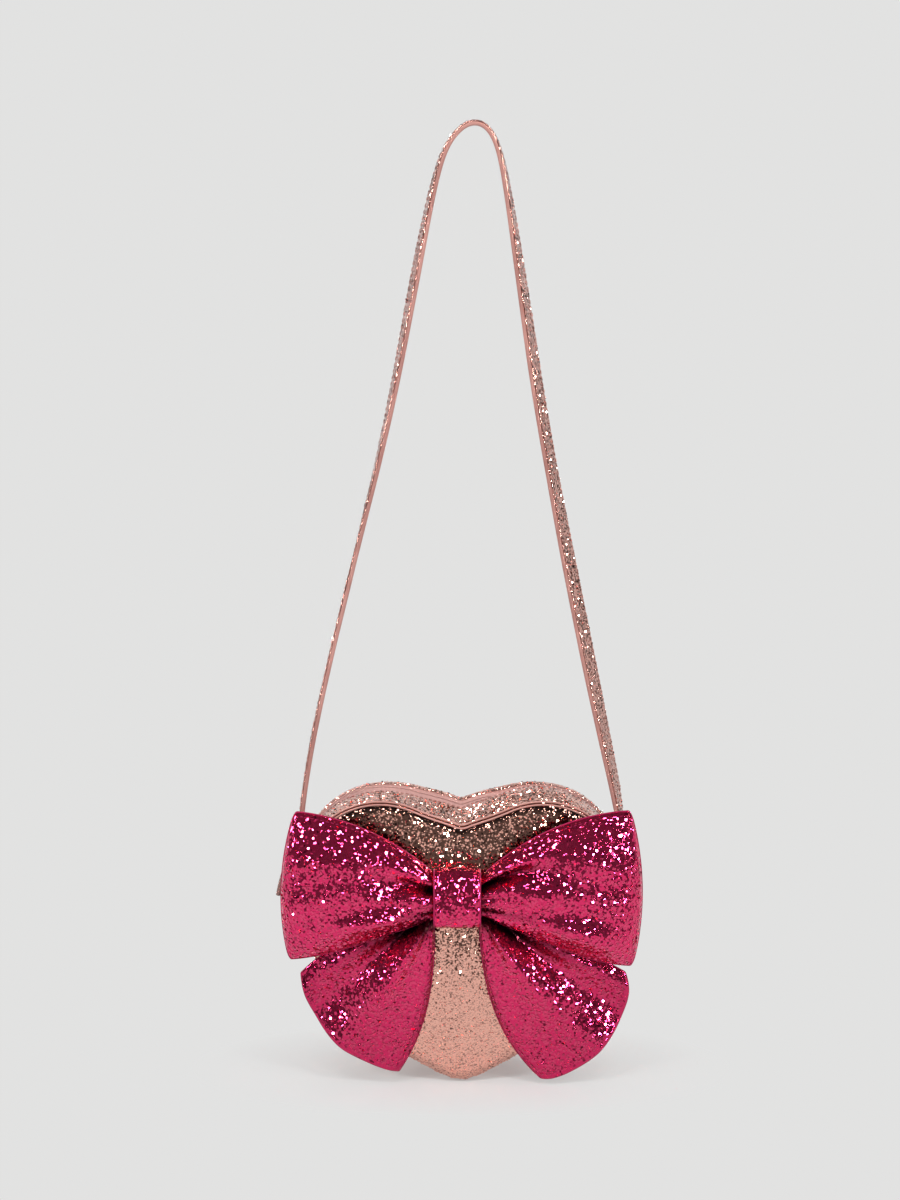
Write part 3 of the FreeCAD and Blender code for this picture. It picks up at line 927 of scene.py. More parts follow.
# Padded panels: inset of the edge, thickness, rows from middle to edge, puckers and roll into the seam
PANEL_INSET = 0.0016
PANEL_THICKNESS = 0.0043
PANEL_ROWS = np.concatenate([np.linspace(0.03, 0.9, 40), np.linspace(0.912, 1.0, 15)])[:, None]
PANEL_BACK_ROWS = (0.03, 0.5, 0.985)
BACK_CROWN = 0.3
PUCKER_DEPTH = 0.00035
PUCKER_LENGTH = 0.0095
PUCKER_REACH = 0.06
ROLL_DEPTH = 0.0013
ROLL_START = 0.945

# Painted shade in the seam: rows and heights between which it rises, its size and what the top of the heart
# adds
SHADE_ROWS = (43.0, 51.0)
SHADE_HEIGHTS = (0.09, 0.12)
SHADE = (0.25, 0.6)
BACK_SHADE = 0.3

# Front seam: how far the panel covers it near the tip, and the heights between which that ends
TUCK_INSET = 0.0019
TUCK_HEIGHTS = (0.045, 0.085)

# Seam edges: distance out of the heart's edge, depth and how far they move back near the tip
SEAM_SIDES = 10
FRONT_CORD = (-0.0012, -0.0248, 0.0026)
FRONT_LIP = (0.0001, -0.0233, 0.0010)
BACK_CORD = (-0.0012, 0.0248, 0.0)

# Gusset strips: depths of their edges, and thickness
GUSSET_EDGE = 0.0232
GUSSET_THICKNESS = 0.0014
TOP_STRIP_EDGE = 0.0043
REAR_STRIP_EDGE = 0.0177

# Zip: each tape's name, edges, lip and the lip's rise
ZIP_TAPES = (("front", 0.0040, 0.0104, 0.0104, 0.0002), ("back", 0.0116, 0.0180, 0.0116, 0.0005))
TAPE_SINK = 0.0003
TAPE_THICKNESS = 0.0006
LIP_WIDTH = 0.0011
COIL_SINK = 0.0018
COIL_RADIUS = 0.0007
COIL_WIRE = 0.0003
COIL_PITCH = 0.0014
COIL_END = 0.004
ZIP_SEAM_INSET = 0.0010
ZIP_SEAM_END = 0.003
COIL_STEPS = 12
COIL_SIDES = 6

# Zip tail: length, thickness, how far its top, end and middle stand off its box, and its width's share
ZIP_TAIL_LENGTH = 0.036
ZIP_TAIL_THICKNESS = 0.0026
ZIP_TAIL_TOP = 0.0012
ZIP_TAIL_END = 0.0002
ZIP_TAIL_LEAN = (-0.0044, 0.003)
ZIP_TAIL_WIDTH = 0.94

# Lining: how far behind the panels its two faces lie, its insets and the strips inside the gusset
LINING_FACES = (0.0046, 0.0054)
LINING_INSET = 0.0004
LINING_SINK = 0.0016
LINING_THICKNESS = 0.0007
LINING_EDGE = 0.0205
TOP_LINING_EDGE = 0.0035
SLACK = 0.0005
SLACK_LENGTH = 0.026


def heart_rows(shares, depths, inset):
    """A grid over the heart: every row is its edge, moved in by an inset and drawn to a share about its
    centre."""
    edge, out = along_edge(np.linspace(0.0, PERIMETER, AROUND, endpoint=False))
    flat = HEART_CENTRE + np.asarray(shares)[:, None, None] * (edge - out * inset - HEART_CENTRE)
    depths = np.asarray(depths, float)
    depth = np.broadcast_to(depths.reshape(len(depths), -1), flat.shape[:2])
    return np.stack([flat[..., 0], depth, flat[..., 1]], -1)


def tucked(z):
    """How far the front seam lies under the panel's edge: fully near the tip, not at all by the lobes."""
    return 1.0 - eased(z, *TUCK_HEIGHTS)


def padded_panel(face, crown_share, forward):
    """Front and back grids of a padded heart: a swell that falls to the edge, a roll into the seam over the
    last stretch, and small puckers, a sine along the edge that dies away from it."""
    run = np.linspace(0.0, PERIMETER, AROUND, endpoint=False)
    pucker = PUCKER_DEPTH * np.sin(2 * math.pi * run / PUCKER_LENGTH + 1.3 * np.sin(37.0 * run))
    pucker = pucker * bell(PANEL_ROWS, 1.0, PUCKER_REACH)
    roll = ROLL_DEPTH * rising(PANEL_ROWS, ROLL_START, 1.0) ** 2
    inset = np.full(AROUND, PANEL_INSET)
    if forward < 0:
        inset -= TUCK_INSET * tucked(along_edge(run)[0][:, 1])
    front = heart_rows(PANEL_ROWS[:, 0], np.zeros(len(PANEL_ROWS)), inset[:, None])
    swelling = crown_share * swell(PANEL_ROWS, front[..., 2]) + pucker - roll
    if forward < 0:
        swelling = swelling + bulge(front[..., 0], front[..., 2])
    front[..., 1] = face + forward * swelling
    inner = face - forward * PANEL_THICKNESS
    return front, heart_rows(PANEL_BACK_ROWS, [inner] * len(PANEL_BACK_ROWS), PANEL_INSET)


def panel_cover(name, front, back, body, shade):
    """A closed heart from a front and a back grid, joined along their edges."""
    rows = np.concatenate([front, back[::-1]])
    crease = np.concatenate([shade.ravel(), np.zeros(back[..., 0].size + 2)])
    return tube_piece(name, rows, rose_bed(), body, crease=crease)


def painted_seam_shade(front):
    """Painted shade of a panel in its seam: rising over its last rows, more at the top of the
    heart."""
    rise = rising(np.arange(len(front)), *SHADE_ROWS)[:, None]
    return rise * (SHADE[0] + SHADE[1] * rising(front[..., 2], *SHADE_HEIGHTS))


def bag_flakes(name, grid, body, seed, **settings):
    """Flakes of the bag's own size and colour."""
    return scatter(name, grid, body, rose_flakes(), "rose_glitter", seed, sizes().bag_flake, **settings)


def front_panel():
    """Padded glitter heart of the front, with its flakes."""
    front, back = padded_panel(FRONT_FACE, 1.0, -1.0)
    shade = painted_seam_shade(front)
    cover = panel_cover("front_panel_cover", front, back, "bag", shade)
    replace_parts(cover, "front_panel", "front_foam")
    settings = {"flip": True, "crease": shade, "untidy": 0.25, "ruffled": 1.1}
    bag_flakes("front_panel_flakes", front, "bag", seed=1, wrap=True, **settings)


def back_panel():
    """Padded glitter heart of the back and the flap, which meet at the fold of the mouth, with its flakes.
    """
    front, back = padded_panel(BACK_FACE, BACK_CROWN, 1.0)
    shade = BACK_SHADE * painted_seam_shade(front)
    cover = panel_cover("back_panel_cover", front, back, None, shade)
    bend_at_fold(cover)
    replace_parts(cover, "back_panel", "back_foam", "flap_panel", "flap_foam")
    bend_at_fold(bag_flakes("back_panel_flakes", front, None, seed=2, wrap=True, crease=shade))


def seam_edge(name, outward, depth, tuck, body):
    """A thin round cord carried once round the heart's edge, moved back by a tuck near the tip."""
    profile = ring_profile(outward, depth, sizes().piping, SEAM_SIDES)
    grid = edge_sweep(0.0, PERIMETER * (1.0 - 1.0 / RING_POINTS), profile, RING_POINTS)
    grid[..., 1] += tuck * tucked(grid[..., 2])
    return ring_piece(name, grid, rose_vinyl(), body)


def piping():
    """Smooth edges of the cloth in the front and back seams: two thin cords with a gap between them."""
    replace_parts(seam_edge("front_piping_cord", *FRONT_CORD, "bag"), "front_piping")
    seam_edge("front_seam_lip", *FRONT_LIP, "bag")
    back = seam_edge("back_piping_cord", *BACK_CORD, None)
    bend_at_fold(back)
    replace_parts(back, "back_piping", "flap_piping")


def strip(name, start, end, profile, count, finish, body, threads=False):
    """A closed profile carried along a stretch of the heart's edge, with its own map for a weave."""
    grid = edge_sweep(start, end, profile, count)
    uv = None
    if threads:
        along = np.linspace(start, end, count)[:, None] + np.zeros(len(profile))
        across = profile[:, 1] + np.zeros((count, 1))
        ends = ((start, profile[0, 1]), (end, profile[0, 1]))
        uv = np.concatenate([np.stack([along, across], -1).reshape(-1, 2), ends])
    return grid, tube_piece(name, grid, finish, body, uv=uv)


def gusset():
    """Glitter strips round the sides and over the top in front of the zip, and the narrow one behind it."""
    for seed, (name, start, end, count, sink, low, high, bow, body) in enumerate(
        (
            ("side", -ZIP_START, ZIP_START, 280, 0.0, -GUSSET_EDGE, GUSSET_EDGE, 0.0004, "bag"),
            ("top", ZIP_START, ZIP_END, 240, 0.0, -GUSSET_EDGE, TOP_STRIP_EDGE, 0.0005, "bag"),
            ("flap", ZIP_START, ZIP_END, 240, 0.0001, REAR_STRIP_EDGE, GUSSET_EDGE, 0.0002, None),
        ),
        3,
    ):
        name += "_gusset"
        profile = band_profile(-sink, low, high, GUSSET_THICKNESS, bow)
        grid, cover = strip(name + "_cover", start, end, profile, count, rose_bed(), body)
        flakes = bag_flakes(name + "_flakes", grid[:, :BAND_POINTS], body, seed, cover=0.5, untidy=2.2)
        if body is None:
            bend_at_fold(cover)
            bend_at_fold(flakes)
        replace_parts(cover, name)


def helix(start, end, depth):
    """A round wire wound about a line along the heart's edge: its centre turns once in every pitch."""
    stations = np.linspace(start, end, int(COIL_STEPS * ((end - start) / COIL_PITCH)))
    edge, out = along_edge(stations)
    turn = 2 * math.pi * (stations - start) / COIL_PITCH
    flat = edge + out * (COIL_RADIUS * np.cos(turn) - COIL_SINK)[:, None]
    line = np.stack([flat[:, 0], depth + COIL_RADIUS * np.sin(turn), flat[:, 1]], -1)
    return round_tube(line, COIL_WIRE, COIL_SIDES)


def edge_line(start, end, outward, depth, count=300):
    """A line along the heart's edge at a distance out of it and a depth."""
    edge, out = along_edge(np.linspace(start, end, count))
    flat = edge + out * outward
    return np.stack([flat[:, 0], np.full(count, depth), flat[:, 1]], -1)


def zip_fastener():
    """Tapes of the zip with a raised lip by the slit, nylon coils under the lips, and the tapes' seams."""
    for name, low, high, lip, rise in ZIP_TAPES:
        rear = name == "back"
        body = None if rear else "bag"
        profile = band_profile(-TAPE_SINK, low, high, TAPE_THICKNESS, 0.0001)
        profile[:, 0] += rise * bell(profile[:, 1], lip, LIP_WIDTH)
        tape_name = "zip_tape_%s_cloth" % name
        tape = strip(tape_name, ZIP_START, ZIP_END, profile, 260, zip_cloth(), body, True)[1]
        coil = helix(ZIP_START + COIL_END, ZIP_END - COIL_END, lip)
        wound = tube_piece("zip_coil_%s_wound" % name, coil, zip_nylon(), body)
        far = high - ZIP_SEAM_INSET if rear else low + ZIP_SEAM_INSET
        line = edge_line(ZIP_START + ZIP_SEAM_END, ZIP_END - ZIP_SEAM_END, 0.00005, far)
        seam = stitches("zip_seam_%s" % name, line, body, sewing_thread())
        if rear:
            for piece in (tape, wound, seam):
                bend_at_fold(piece)
        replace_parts(tape, "zip_tape_%s" % name)
        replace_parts(wound, "zip_coil_%s" % name)


def zip_tail():
    """Folded end of the zip tape left of the bow: a soft band that leans out and droops along a parabola."""
    low, high = (np.array(corner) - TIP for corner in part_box("zip_tail"))
    share = np.linspace(0.0, 1.0, 40)[:, None]
    top = np.array((high[0] - ZIP_TAIL_TOP, high[2]))
    end = np.array((low[0] - ZIP_TAIL_END, low[2]))
    middle = (top + end) / 2 + ZIP_TAIL_LEAN
    line = (1 - share) ** 2 * top + 2 * share * (1 - share) * middle + share**2 * end
    run = unit(np.gradient(line, axis=0))
    out = np.stack([-run[:, 1], run[:, 0]], 1)
    angle = turns(28)
    across = squared_off(np.cos(angle), 0.4) * (high[1] - low[1]) / 2 * ZIP_TAIL_WIDTH
    thick = squared_off(np.sin(angle), 0.5) * ZIP_TAIL_THICKNESS / 2
    flat = line[:, None] + out[:, None] * thick[None, :, None]
    depth = (low[1] + high[1]) / 2 + across + np.zeros((len(share), 1))
    grid = np.stack([flat[..., 0], depth, flat[..., 1]], -1)
    uv = np.stack([share * ZIP_TAIL_LENGTH + 0.0 * across, across + 0.0 * share], -1).reshape(-1, 2)
    uv = np.concatenate([uv, ((0.0, 0.0), (ZIP_TAIL_LENGTH, 0.0))])
    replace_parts(tube_piece("zip_tail_cloth", grid, zip_tail_cloth(), "bag", uv=uv), "zip_tail")


def lining():
    """Cloth inside the bag: a heart behind each panel and a strip inside the gusset, with slack wrinkles, a
    sine round the heart that fades at its middle and its edge."""
    shares = np.linspace(0.03, 1.0, 30)
    run = np.linspace(0.0, PERIMETER, AROUND, endpoint=False)
    slack = SLACK * np.sin(2 * math.pi * run / SLACK_LENGTH + 2.0 * np.sin(21.0 * run))
    slack = slack * np.sin(math.pi * shares[:, None]) ** 2
    spread = np.stack([run[None, :] * shares[:, None], shares[:, None] * 0.09 + 0.0 * run], -1)
    uv = np.concatenate([np.concatenate([spread, spread[::-1]]).reshape(-1, 2), ((0.0, 0.0), (0.0, 0.0))])
    for name, face, inwards, body, nodes in (
        ("front_lining_cloth", FRONT_FACE, 1.0, "bag", ("front_lining",)),
        ("back_lining_cloth", BACK_FACE, -1.0, None, ("back_lining", "flap_lining")),
    ):
        one, two = (
            heart_rows(shares, face + inwards * depth + slack, PANEL_INSET + LINING_INSET)
            for depth in LINING_FACES
        )
        rows = np.concatenate([one, two[::-1]])
        cloth = tube_piece(name, rows, lining_cloth(), body, uv=uv)
        if body is None:
            bend_at_fold(cloth)
        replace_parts(cloth, *nodes)
    for name, start, end, edge in (
        ("side", -ZIP_START, ZIP_START, LINING_EDGE),
        ("top", ZIP_START, ZIP_END, TOP_LINING_EDGE),
    ):
        profile = band_profile(-LINING_SINK, -LINING_EDGE, edge, LINING_THICKNESS)
        finish, piece = lining_cloth(), name + "_lining_cloth"
        cloth = strip(piece, start, end, profile, 220, finish, "bag", True)[1]
        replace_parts(cloth, name + "_gusset_lining")


# Strap: how far it is turned about its own line, height and degrees
LEFT_TWIST = np.array(
    (
        (0.11, 0.0), (0.152, 2.5), (0.206, 3.0), (0.240, 1.0), (0.275, -1.0), (0.310, 3.0), (0.340, 6.0),
        (0.371, 11.0), (0.409, 15.0), (0.440, 17.0), (0.467, 13.0), (0.492, 7.0), (0.514, 2.0),
    )
)
RIGHT_TWIST = np.array(
    (
        (0.12, 0.0), (0.155, 21.0), (0.180, 27.0), (0.230, 36.0), (0.290, 34.0), (0.330, 28.0),
        (0.400, 26.0), (0.450, 18.0), (0.490, 8.0), (0.514, 2.0),
    )
)
STRAP_POINTS = 620
TWIST_SMOOTHING = 41

# Strap layers: middle, half thickness and what is added to half the width
STRAP_FACE = (0.0010, 0.0004, -0.0009)
STRAP_BACKING = (-0.0002, 0.0011, 0.0001)
STRAP_TOP = 0.0014
FLAKE_INSET = 0.0013
STRAP_SEAM_INSET = 0.0015

# Crossed box of stitches: the distances from the strap's end, inset and lift
ANCHOR_NEAR = 0.003
ANCHOR_FAR = 0.017
ANCHOR_INSET = 0.0022
ANCHOR_LIFT = 0.0016


def strap_line():
    """Points of the strap's smooth line at even steps, read from a spline that its route controls."""
    curve = bpy.data.curves.new("strap_route", "CURVE")
    curve.dimensions = "3D"
    curve.resolution_u = 24
    spline = curve.splines.new("NURBS")
    spline.points.add(len(STRAP_ROUTE) - 1)
    places = np.array([(x, STRAP_DEPTH, z, 1.0) for x, z in STRAP_ROUTE])
    spline.points.foreach_set("co", places.ravel())
    spline.order_u = 3
    spline.use_endpoint_u = True
    holder = bpy.data.objects.new("strap_route", curve)
    mesh = bpy.data.meshes.new_from_object(holder)
    points = np.empty(3 * len(mesh.vertices))
    mesh.vertices.foreach_get("co", points)
    points = points.reshape(-1, 3)
    bpy.data.meshes.remove(mesh)
    bpy.data.objects.remove(holder)
    bpy.data.curves.remove(curve)
    run = distances(points)
    return read_at(np.linspace(0.0, run[-1], STRAP_POINTS), run, points), run[-1]


def strap_frames(line):
    """Directions out of and across the strap, turned about its own line by an angle that its height sets."""
    along = unit(np.gradient(line, axis=0))
    out = np.stack([-along[:, 2], np.zeros(len(line)), along[:, 0]], 1)
    depth = np.array((0.0, 1.0, 0.0))
    apex = int(np.argmax(line[:, 2]))
    angle = np.interp(line[:, 2], *RIGHT_TWIST.T)
    angle[:apex] = np.interp(line[:apex, 2], *LEFT_TWIST.T)
    smooth = np.hanning(TWIST_SMOOTHING)
    angle = np.convolve(np.pad(angle, TWIST_SMOOTHING // 2, mode="edge"), smooth / smooth.sum(), "valid")
    angle = np.radians(angle)[:, None]
    turned_out = np.cos(angle) * out - np.sin(angle) * depth
    across = np.cos(angle) * depth + np.sin(angle) * out
    return turned_out, across


def strap_band(line, out, across, middle, half_thick, wider):
    """A rounded flat profile, a squared-off ellipse, carried along the strap's line."""
    angle = turns(28)
    outward = middle + half_thick * squared_off(np.sin(angle), 0.45)
    aside = (sizes().strap_width / 2 + wider) * squared_off(np.cos(angle), 0.3)
    return line[:, None] + out[:, None] * outward[:, None] + across[:, None] * aside[:, None]


def fold_strap(piece):
    """Bakes the place of a strap piece into its points."""
    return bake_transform(piece)


def strap():
    """Glitter face, smooth backing and seams of the strap, whose ends are sewn to the sides of the bag."""
    line, length = strap_line()
    out, across = strap_frames(line)
    half = sizes().strap_width / 2
    grid = strap_band(line, out, across, *STRAP_FACE)
    face = tube_piece("strap_face_band", grid, strap_bed(), None)
    grid = strap_band(line, out, across, *STRAP_BACKING)
    backing = tube_piece("strap_backing_band", grid, strap_vinyl(), None)
    shares = np.linspace(-half + FLAKE_INSET, half - FLAKE_INSET, 9)
    top = line[:, None] + out[:, None] * STRAP_TOP + across[:, None] * shares[None, :, None]
    finish, flake = strap_flakes(), sizes().bag_flake
    flakes = scatter(
        "strap_flakes", top, None, finish, "strap_glitter", seed=6, flake=flake, flip=True, untidy=1.6
    )
    seams = []
    for name, side in (("front", -1.0), ("rear", 1.0)):
        seam_line = line + out * STRAP_TOP + across * side * (half - STRAP_SEAM_INSET)
        seam = stitches("strap_seam_" + name, seam_line, None, sewing_thread(), step=0.0034, length=0.0022)
        seams.append(seam)
    for piece in (face, backing, flakes, *seams):
        fold_strap(piece)
    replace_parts(face, "strap_face", "strap_end_left", "strap_end_right")
    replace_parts(backing, "strap_backing")


def strap_anchors():
    """Crossed box of stitches that holds each end of the strap to the side of the bag."""
    line = strap_line()[0]
    out, across = strap_frames(line)
    run = distances(line)
    half = sizes().strap_width / 2 - ANCHOR_INSET
    near, far = ANCHOR_NEAR, ANCHOR_FAR
    corners = np.array(((near, -half), (far, -half), (far, half), (near, half), (near, -half), (far, half)))
    at, side = read_at(np.linspace(0.0, len(corners) - 1.0, 120), np.arange(len(corners)), corners).T
    for name, places in (("left", at), ("right", run[-1] - at)):
        place, lift, wide = (read_at(places, run, source) for source in (line, out, across))
        row = place + lift * ANCHOR_LIFT + wide * side[:, None]
        piece = stitches("strap_anchor_" + name, row, "bag", sewing_thread(), step=0.0026, length=0.0020)
        if name == "left":
            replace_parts(piece, "strap_end_stitches")


# Bow: edges of its loops and tails, side and height, and where folds and puffs lie on them
LOOPS = {
    "left": {
        "side": -1.0,
        "top": ((-0.009, 0.1165), (-0.033, 0.140), (-0.062, 0.1535), (-0.0890, 0.1555)),
        "bottom": ((-0.009, 0.0985), (-0.042, 0.088), (-0.068, 0.0755), (-0.0928, 0.0746)),
        "fold": (0.36, -0.30, 0.60),
        "puff": (0.42, -0.56),
    },
    "right": {
        "side": 1.0,
        "top": ((0.006, 0.1155), (0.030, 0.141), (0.060, 0.1545), (0.0900, 0.1560)),
        "bottom": ((0.006, 0.1005), (0.037, 0.088), (0.066, 0.0710), (0.0920, 0.0710)),
        "fold": (0.60, -0.42, 0.80),
        "puff": (0.68, -0.62),
    },
}
TAILS = {
    "left": {
        "side": -1.0,
        "inner": ((-0.0148, 0.100), (-0.0142, 0.072), (-0.0155, 0.036), (-0.0340, 0.0079)),
        "outer": ((-0.0150, 0.104), (-0.036, 0.0970), (-0.067, 0.0845), (-0.0869, 0.0640)),
        "hem": ((-0.0340, 0.0079), (-0.0600, 0.0130), (-0.0845, 0.0340), (-0.0869, 0.0640)),
    },
    "right": {
        "side": 1.0,
        "inner": ((0.0092, 0.100), (0.0105, 0.070), (0.0145, 0.030), (0.0433, 0.0039)),
        "outer": ((0.0095, 0.104), (0.036, 0.0945), (0.062, 0.0795), (0.0885, 0.0645)),
        "hem": ((0.0433, 0.0039), (0.0660, 0.0030), (0.0985, 0.0400), (0.0880, 0.0645)),
    },
}
HEM_RADIUS = 0.00045
HEM_SIDES = 8
BOW_THREAD = 0.0002
# Most painted shade that a fold may take
DARKEST_PAINTED_SHADE = 0.97

# Loops: plane they lie in, swell in front and behind, bow of the end, puff, gathers and slack
LOOP_PLANE = -0.0386
LOOP_SWELL = 0.0135
LOOP_BACK_SWELL = 0.0040
LOOP_EDGE = 0.0004
LOOP_END_BOW = 0.0055
LOOP_CORNER = 0.0012
LOOP_PUFF = 0.0052
LOOP_GATHERS = 0.0011
LOOP_SLACK = 0.0008

# Fold and crease of a loop: depth in pleats, width, and the crease's line, at the knot and what the way adds
FOLD_SHARE = 1.35
FOLD_WIDTH = (0.12, 0.24)
CREASE_SHARE = 0.45
CREASE_LINE = (-0.55, 0.2)
CREASE_WIDTH = (0.13, 0.1)
PUFF_WIDTH = 0.24
INSIDE_LOOP_HEM = (slice(None, -7), slice(5, -5))

# Tails: height of the inner turn and of the ridges, the ridges' share, middle and width, gathers and slack
TAIL_STAND = 0.0046
TAIL_RIDGE = 0.0066
TAIL_RIDGE_LOSS = 0.0026
TAIL_VALLEY = 0.70
TAIL_RIDGES = ((1.1, 0.45, 0.14), (0.55, 0.89, 0.08), (-0.5, TAIL_VALLEY, 0.085))
TAIL_GATHERS = 0.0009
TAIL_SLACK = 0.0006
TAIL_GAP = 0.0021
TAIL_THICKNESS = 0.0011
HEM_DEPTH = 0.0005
INSIDE_TAIL_HEM = (slice(None, -2), slice(2, -2))

# Knot: middle, half its width, depth and height, how far its top leans back, and the groove of its hem
KNOT_MIDDLE = (-0.0024, -0.0428, 0.1095)
KNOT_HALF = (0.0122, 0.0090, 0.0154)
KNOT_LEAN = 0.14
KNOT_GROOVE = 0.030
KNOT_GROOVE_PLACE = 0.80
KNOT_POINTS = 120


def bezier(corners, share):
    """A cubic curve from its first point to its last, drawn by the two between."""
    a, b, c, d = (np.asarray(corner, float) for corner in corners)
    s = np.asarray(share)[..., None]
    return (1 - s) ** 3 * a + 3 * s * (1 - s) ** 2 * b + 3 * s**2 * (1 - s) * c + s**3 * d


def two_sided(front, back):
    """Points and faces of a closed body from a front and a back grid, with a strip of faces along their four
    edges."""
    rows, columns = front.shape[:2]
    count = rows * columns
    number = np.arange(count).reshape(rows, columns)
    border = np.concatenate([number[0, :-1], number[:-1, -1], number[-1, :0:-1], number[:0:-1, 0]])
    after = np.roll(border, -1)
    face = quads(rows, columns)
    sides = np.stack([after, border, border + count, after + count], 1)
    return np.concatenate([front.reshape(-1, 3), back.reshape(-1, 3)]), [face, face[:, ::-1] + count, sides]


def grid_of(rows, columns):
    """Two shares on a grid: the first from 0 to 1 down the rows, the second from 0 to 1 along them."""
    return np.meshgrid(np.linspace(0.0, 1.0, rows), np.linspace(0.0, 1.0, columns), indexing="ij")


def edge_shares(start, end, low, high):
    """The two shares along a line on a surface: out by one edge, across the end and back by the other."""
    corners = np.array(((start, low), (end, low), (end, high), (start, high)))
    return read_at(np.linspace(0.0, len(corners) - 1.0, 360), np.arange(len(corners)), corners).T


def hem_cord(name, line):
    """A thin smooth cord along the edge of the bow's cloth."""
    tube_piece(name, round_tube(line, HEM_RADIUS, HEM_SIDES), fuchsia_edge(), "bag")


def painted_back_shade(back):
    """Painted shade on the back of the bow's cloth: most where it faces the panel, less outside the heart.
    """
    return 0.9 - 0.45 * eased(np.abs(back[..., 0]), 0.068, 0.090)


def bow_cloth(name, front, back, crease):
    """A closed piece of the bow's cloth from its front and its back, with painted shade on both."""
    points, faces = two_sided(front, back)
    crease = np.stack([crease, painted_back_shade(back)])
    return make_piece(name + "_cloth", points, faces, fuchsia_bed(), "bag", crease=crease)


def bow_flakes(name, grid, seed, **settings):
    """Flakes of the bow's own size and colour."""
    finish, flake = fuchsia_flakes(), sizes().bow_flake
    return scatter(name, grid, "bag", finish, "fuchsia_glitter", seed, flake, **settings)


def flakes_on_both_sides(name, front, back, crease, inside, seed, right, untidy):
    """Flakes on the front and the back of a piece of the bow, inside its hem."""
    settings = {"flip": right, "untidy": untidy, "crease": crease[inside]}
    ahead = bow_flakes(name + "_flakes_front", front[inside], seed, **settings)
    settings.update({"flip": not right, "crease": painted_back_shade(back)[inside]})
    return [ahead, bow_flakes(name + "_flakes_back", back[inside], seed + 1, **settings)]


def loop_surface(loop, s, t):
    """Front and back of a bow loop. s runs from the knot to the end and t from the lower edge to the upper:
    points between two curved edges, swollen as a cushion. A deep fold that fades from the knot parts it into
    two rolls, the lower roll has a puff of its own, and finer gathers spread from the knot."""
    flat = (bezier(loop["bottom"], s) * (1 - t[..., None]) + bezier(loop["top"], s) * (1 + t[..., None])) / 2
    end_bow = LOOP_END_BOW * (1 - t**2) * s**6 - LOOP_CORNER * np.abs(t) ** 20 * s**20
    x = flat[..., 0] + loop["side"] * end_bow
    rim = clipped(1 - s**10) ** 0.5
    gather = 0.70 + 0.30 * np.sin(math.pi / 2 * clipped(s / 0.45))
    swelling = LOOP_SWELL * gather * clipped(1 - np.abs(t) ** 2.4) ** 0.62 * rim
    start, slope, reach = loop["fold"]
    fade = eased(1 - s / reach, 0.0, 1.0)
    pleat = sizes().pleat
    fold = FOLD_SHARE * pleat * fade * bell(t, start + slope * s, FOLD_WIDTH[0] + FOLD_WIDTH[1] * s)
    crease_line = CREASE_LINE[0] + CREASE_LINE[1] * s
    crease = CREASE_SHARE * pleat * fade**2 * bell(t, crease_line, CREASE_WIDTH[0] + CREASE_WIDTH[1] * s)
    puff = LOOP_PUFF * bell(t, loop["puff"][1], PUFF_WIDTH) * bell(s, loop["puff"][0], PUFF_WIDTH)
    fine = LOOP_GATHERS * np.exp(-s / 0.22) * np.cos(15.0 * t + 1.5)
    slack = LOOP_SLACK * np.sin(9.0 * s + 4.0 * t) * np.sin(7.0 * t - 3.0 * s)
    inside = (1 - np.abs(t) ** 6) * rim
    front = np.maximum(swelling + (puff + slack + fine - fold - crease) * inside, -0.002) + LOOP_EDGE
    back = LOOP_BACK_SWELL * (1 - t**2) * rim + LOOP_EDGE
    one = np.stack([x, LOOP_PLANE - front, flat[..., 1]], -1)
    two = np.stack([x, LOOP_PLANE + back, flat[..., 1]], -1)
    return one, two


def painted_loop_shade(loop, s, t):
    """Painted shade on a loop's front: most in the fold and the crease by the knot."""
    start, slope, reach = loop["fold"]
    fade = clipped(1 - s / (0.75 * reach))
    fold = fade**0.7 * bell(t, start + slope * s - 0.04, 0.09 + 0.10 * s)
    crease = 0.8 * fade**1.5 * bell(t, CREASE_LINE[0] + CREASE_LINE[1] * s, 0.09)
    return np.clip(1.1 * fold + crease + 0.7 * bell(s, 0.0, 0.09), 0.0, DARKEST_PAINTED_SHADE)


def bow_loops():
    """Padded loops of the bow with their flakes, their hem and the seam inside it."""
    s, t = grid_of(120, 110)
    s = np.sin(math.pi / 2 * s) ** 0.9
    t = np.sin(math.pi / 2 * (2 * t - 1))
    for number, (side, loop) in enumerate(LOOPS.items()):
        name = "bow_loop_" + side
        front, back = loop_surface(loop, s, t)
        crease = painted_loop_shade(loop, s, t)
        cloth = bow_cloth(name, front, back, crease)
        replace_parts(cloth, name)
        seed, right = 10 + 2 * number, loop["side"] > 0
        flakes_on_both_sides(name, front, back, crease, INSIDE_LOOP_HEM, seed, right, 1.35)
        hem_cord(name + "_hem", loop_surface(loop, *edge_shares(0.1, 1.0, 1.0, -1.0))[0])
        line = loop_surface(loop, *edge_shares(0.20, 0.98, 0.955, -0.955))[0]
        stitches(name + "_seam", line, "bag", fuchsia_edge(), radius=BOW_THREAD)


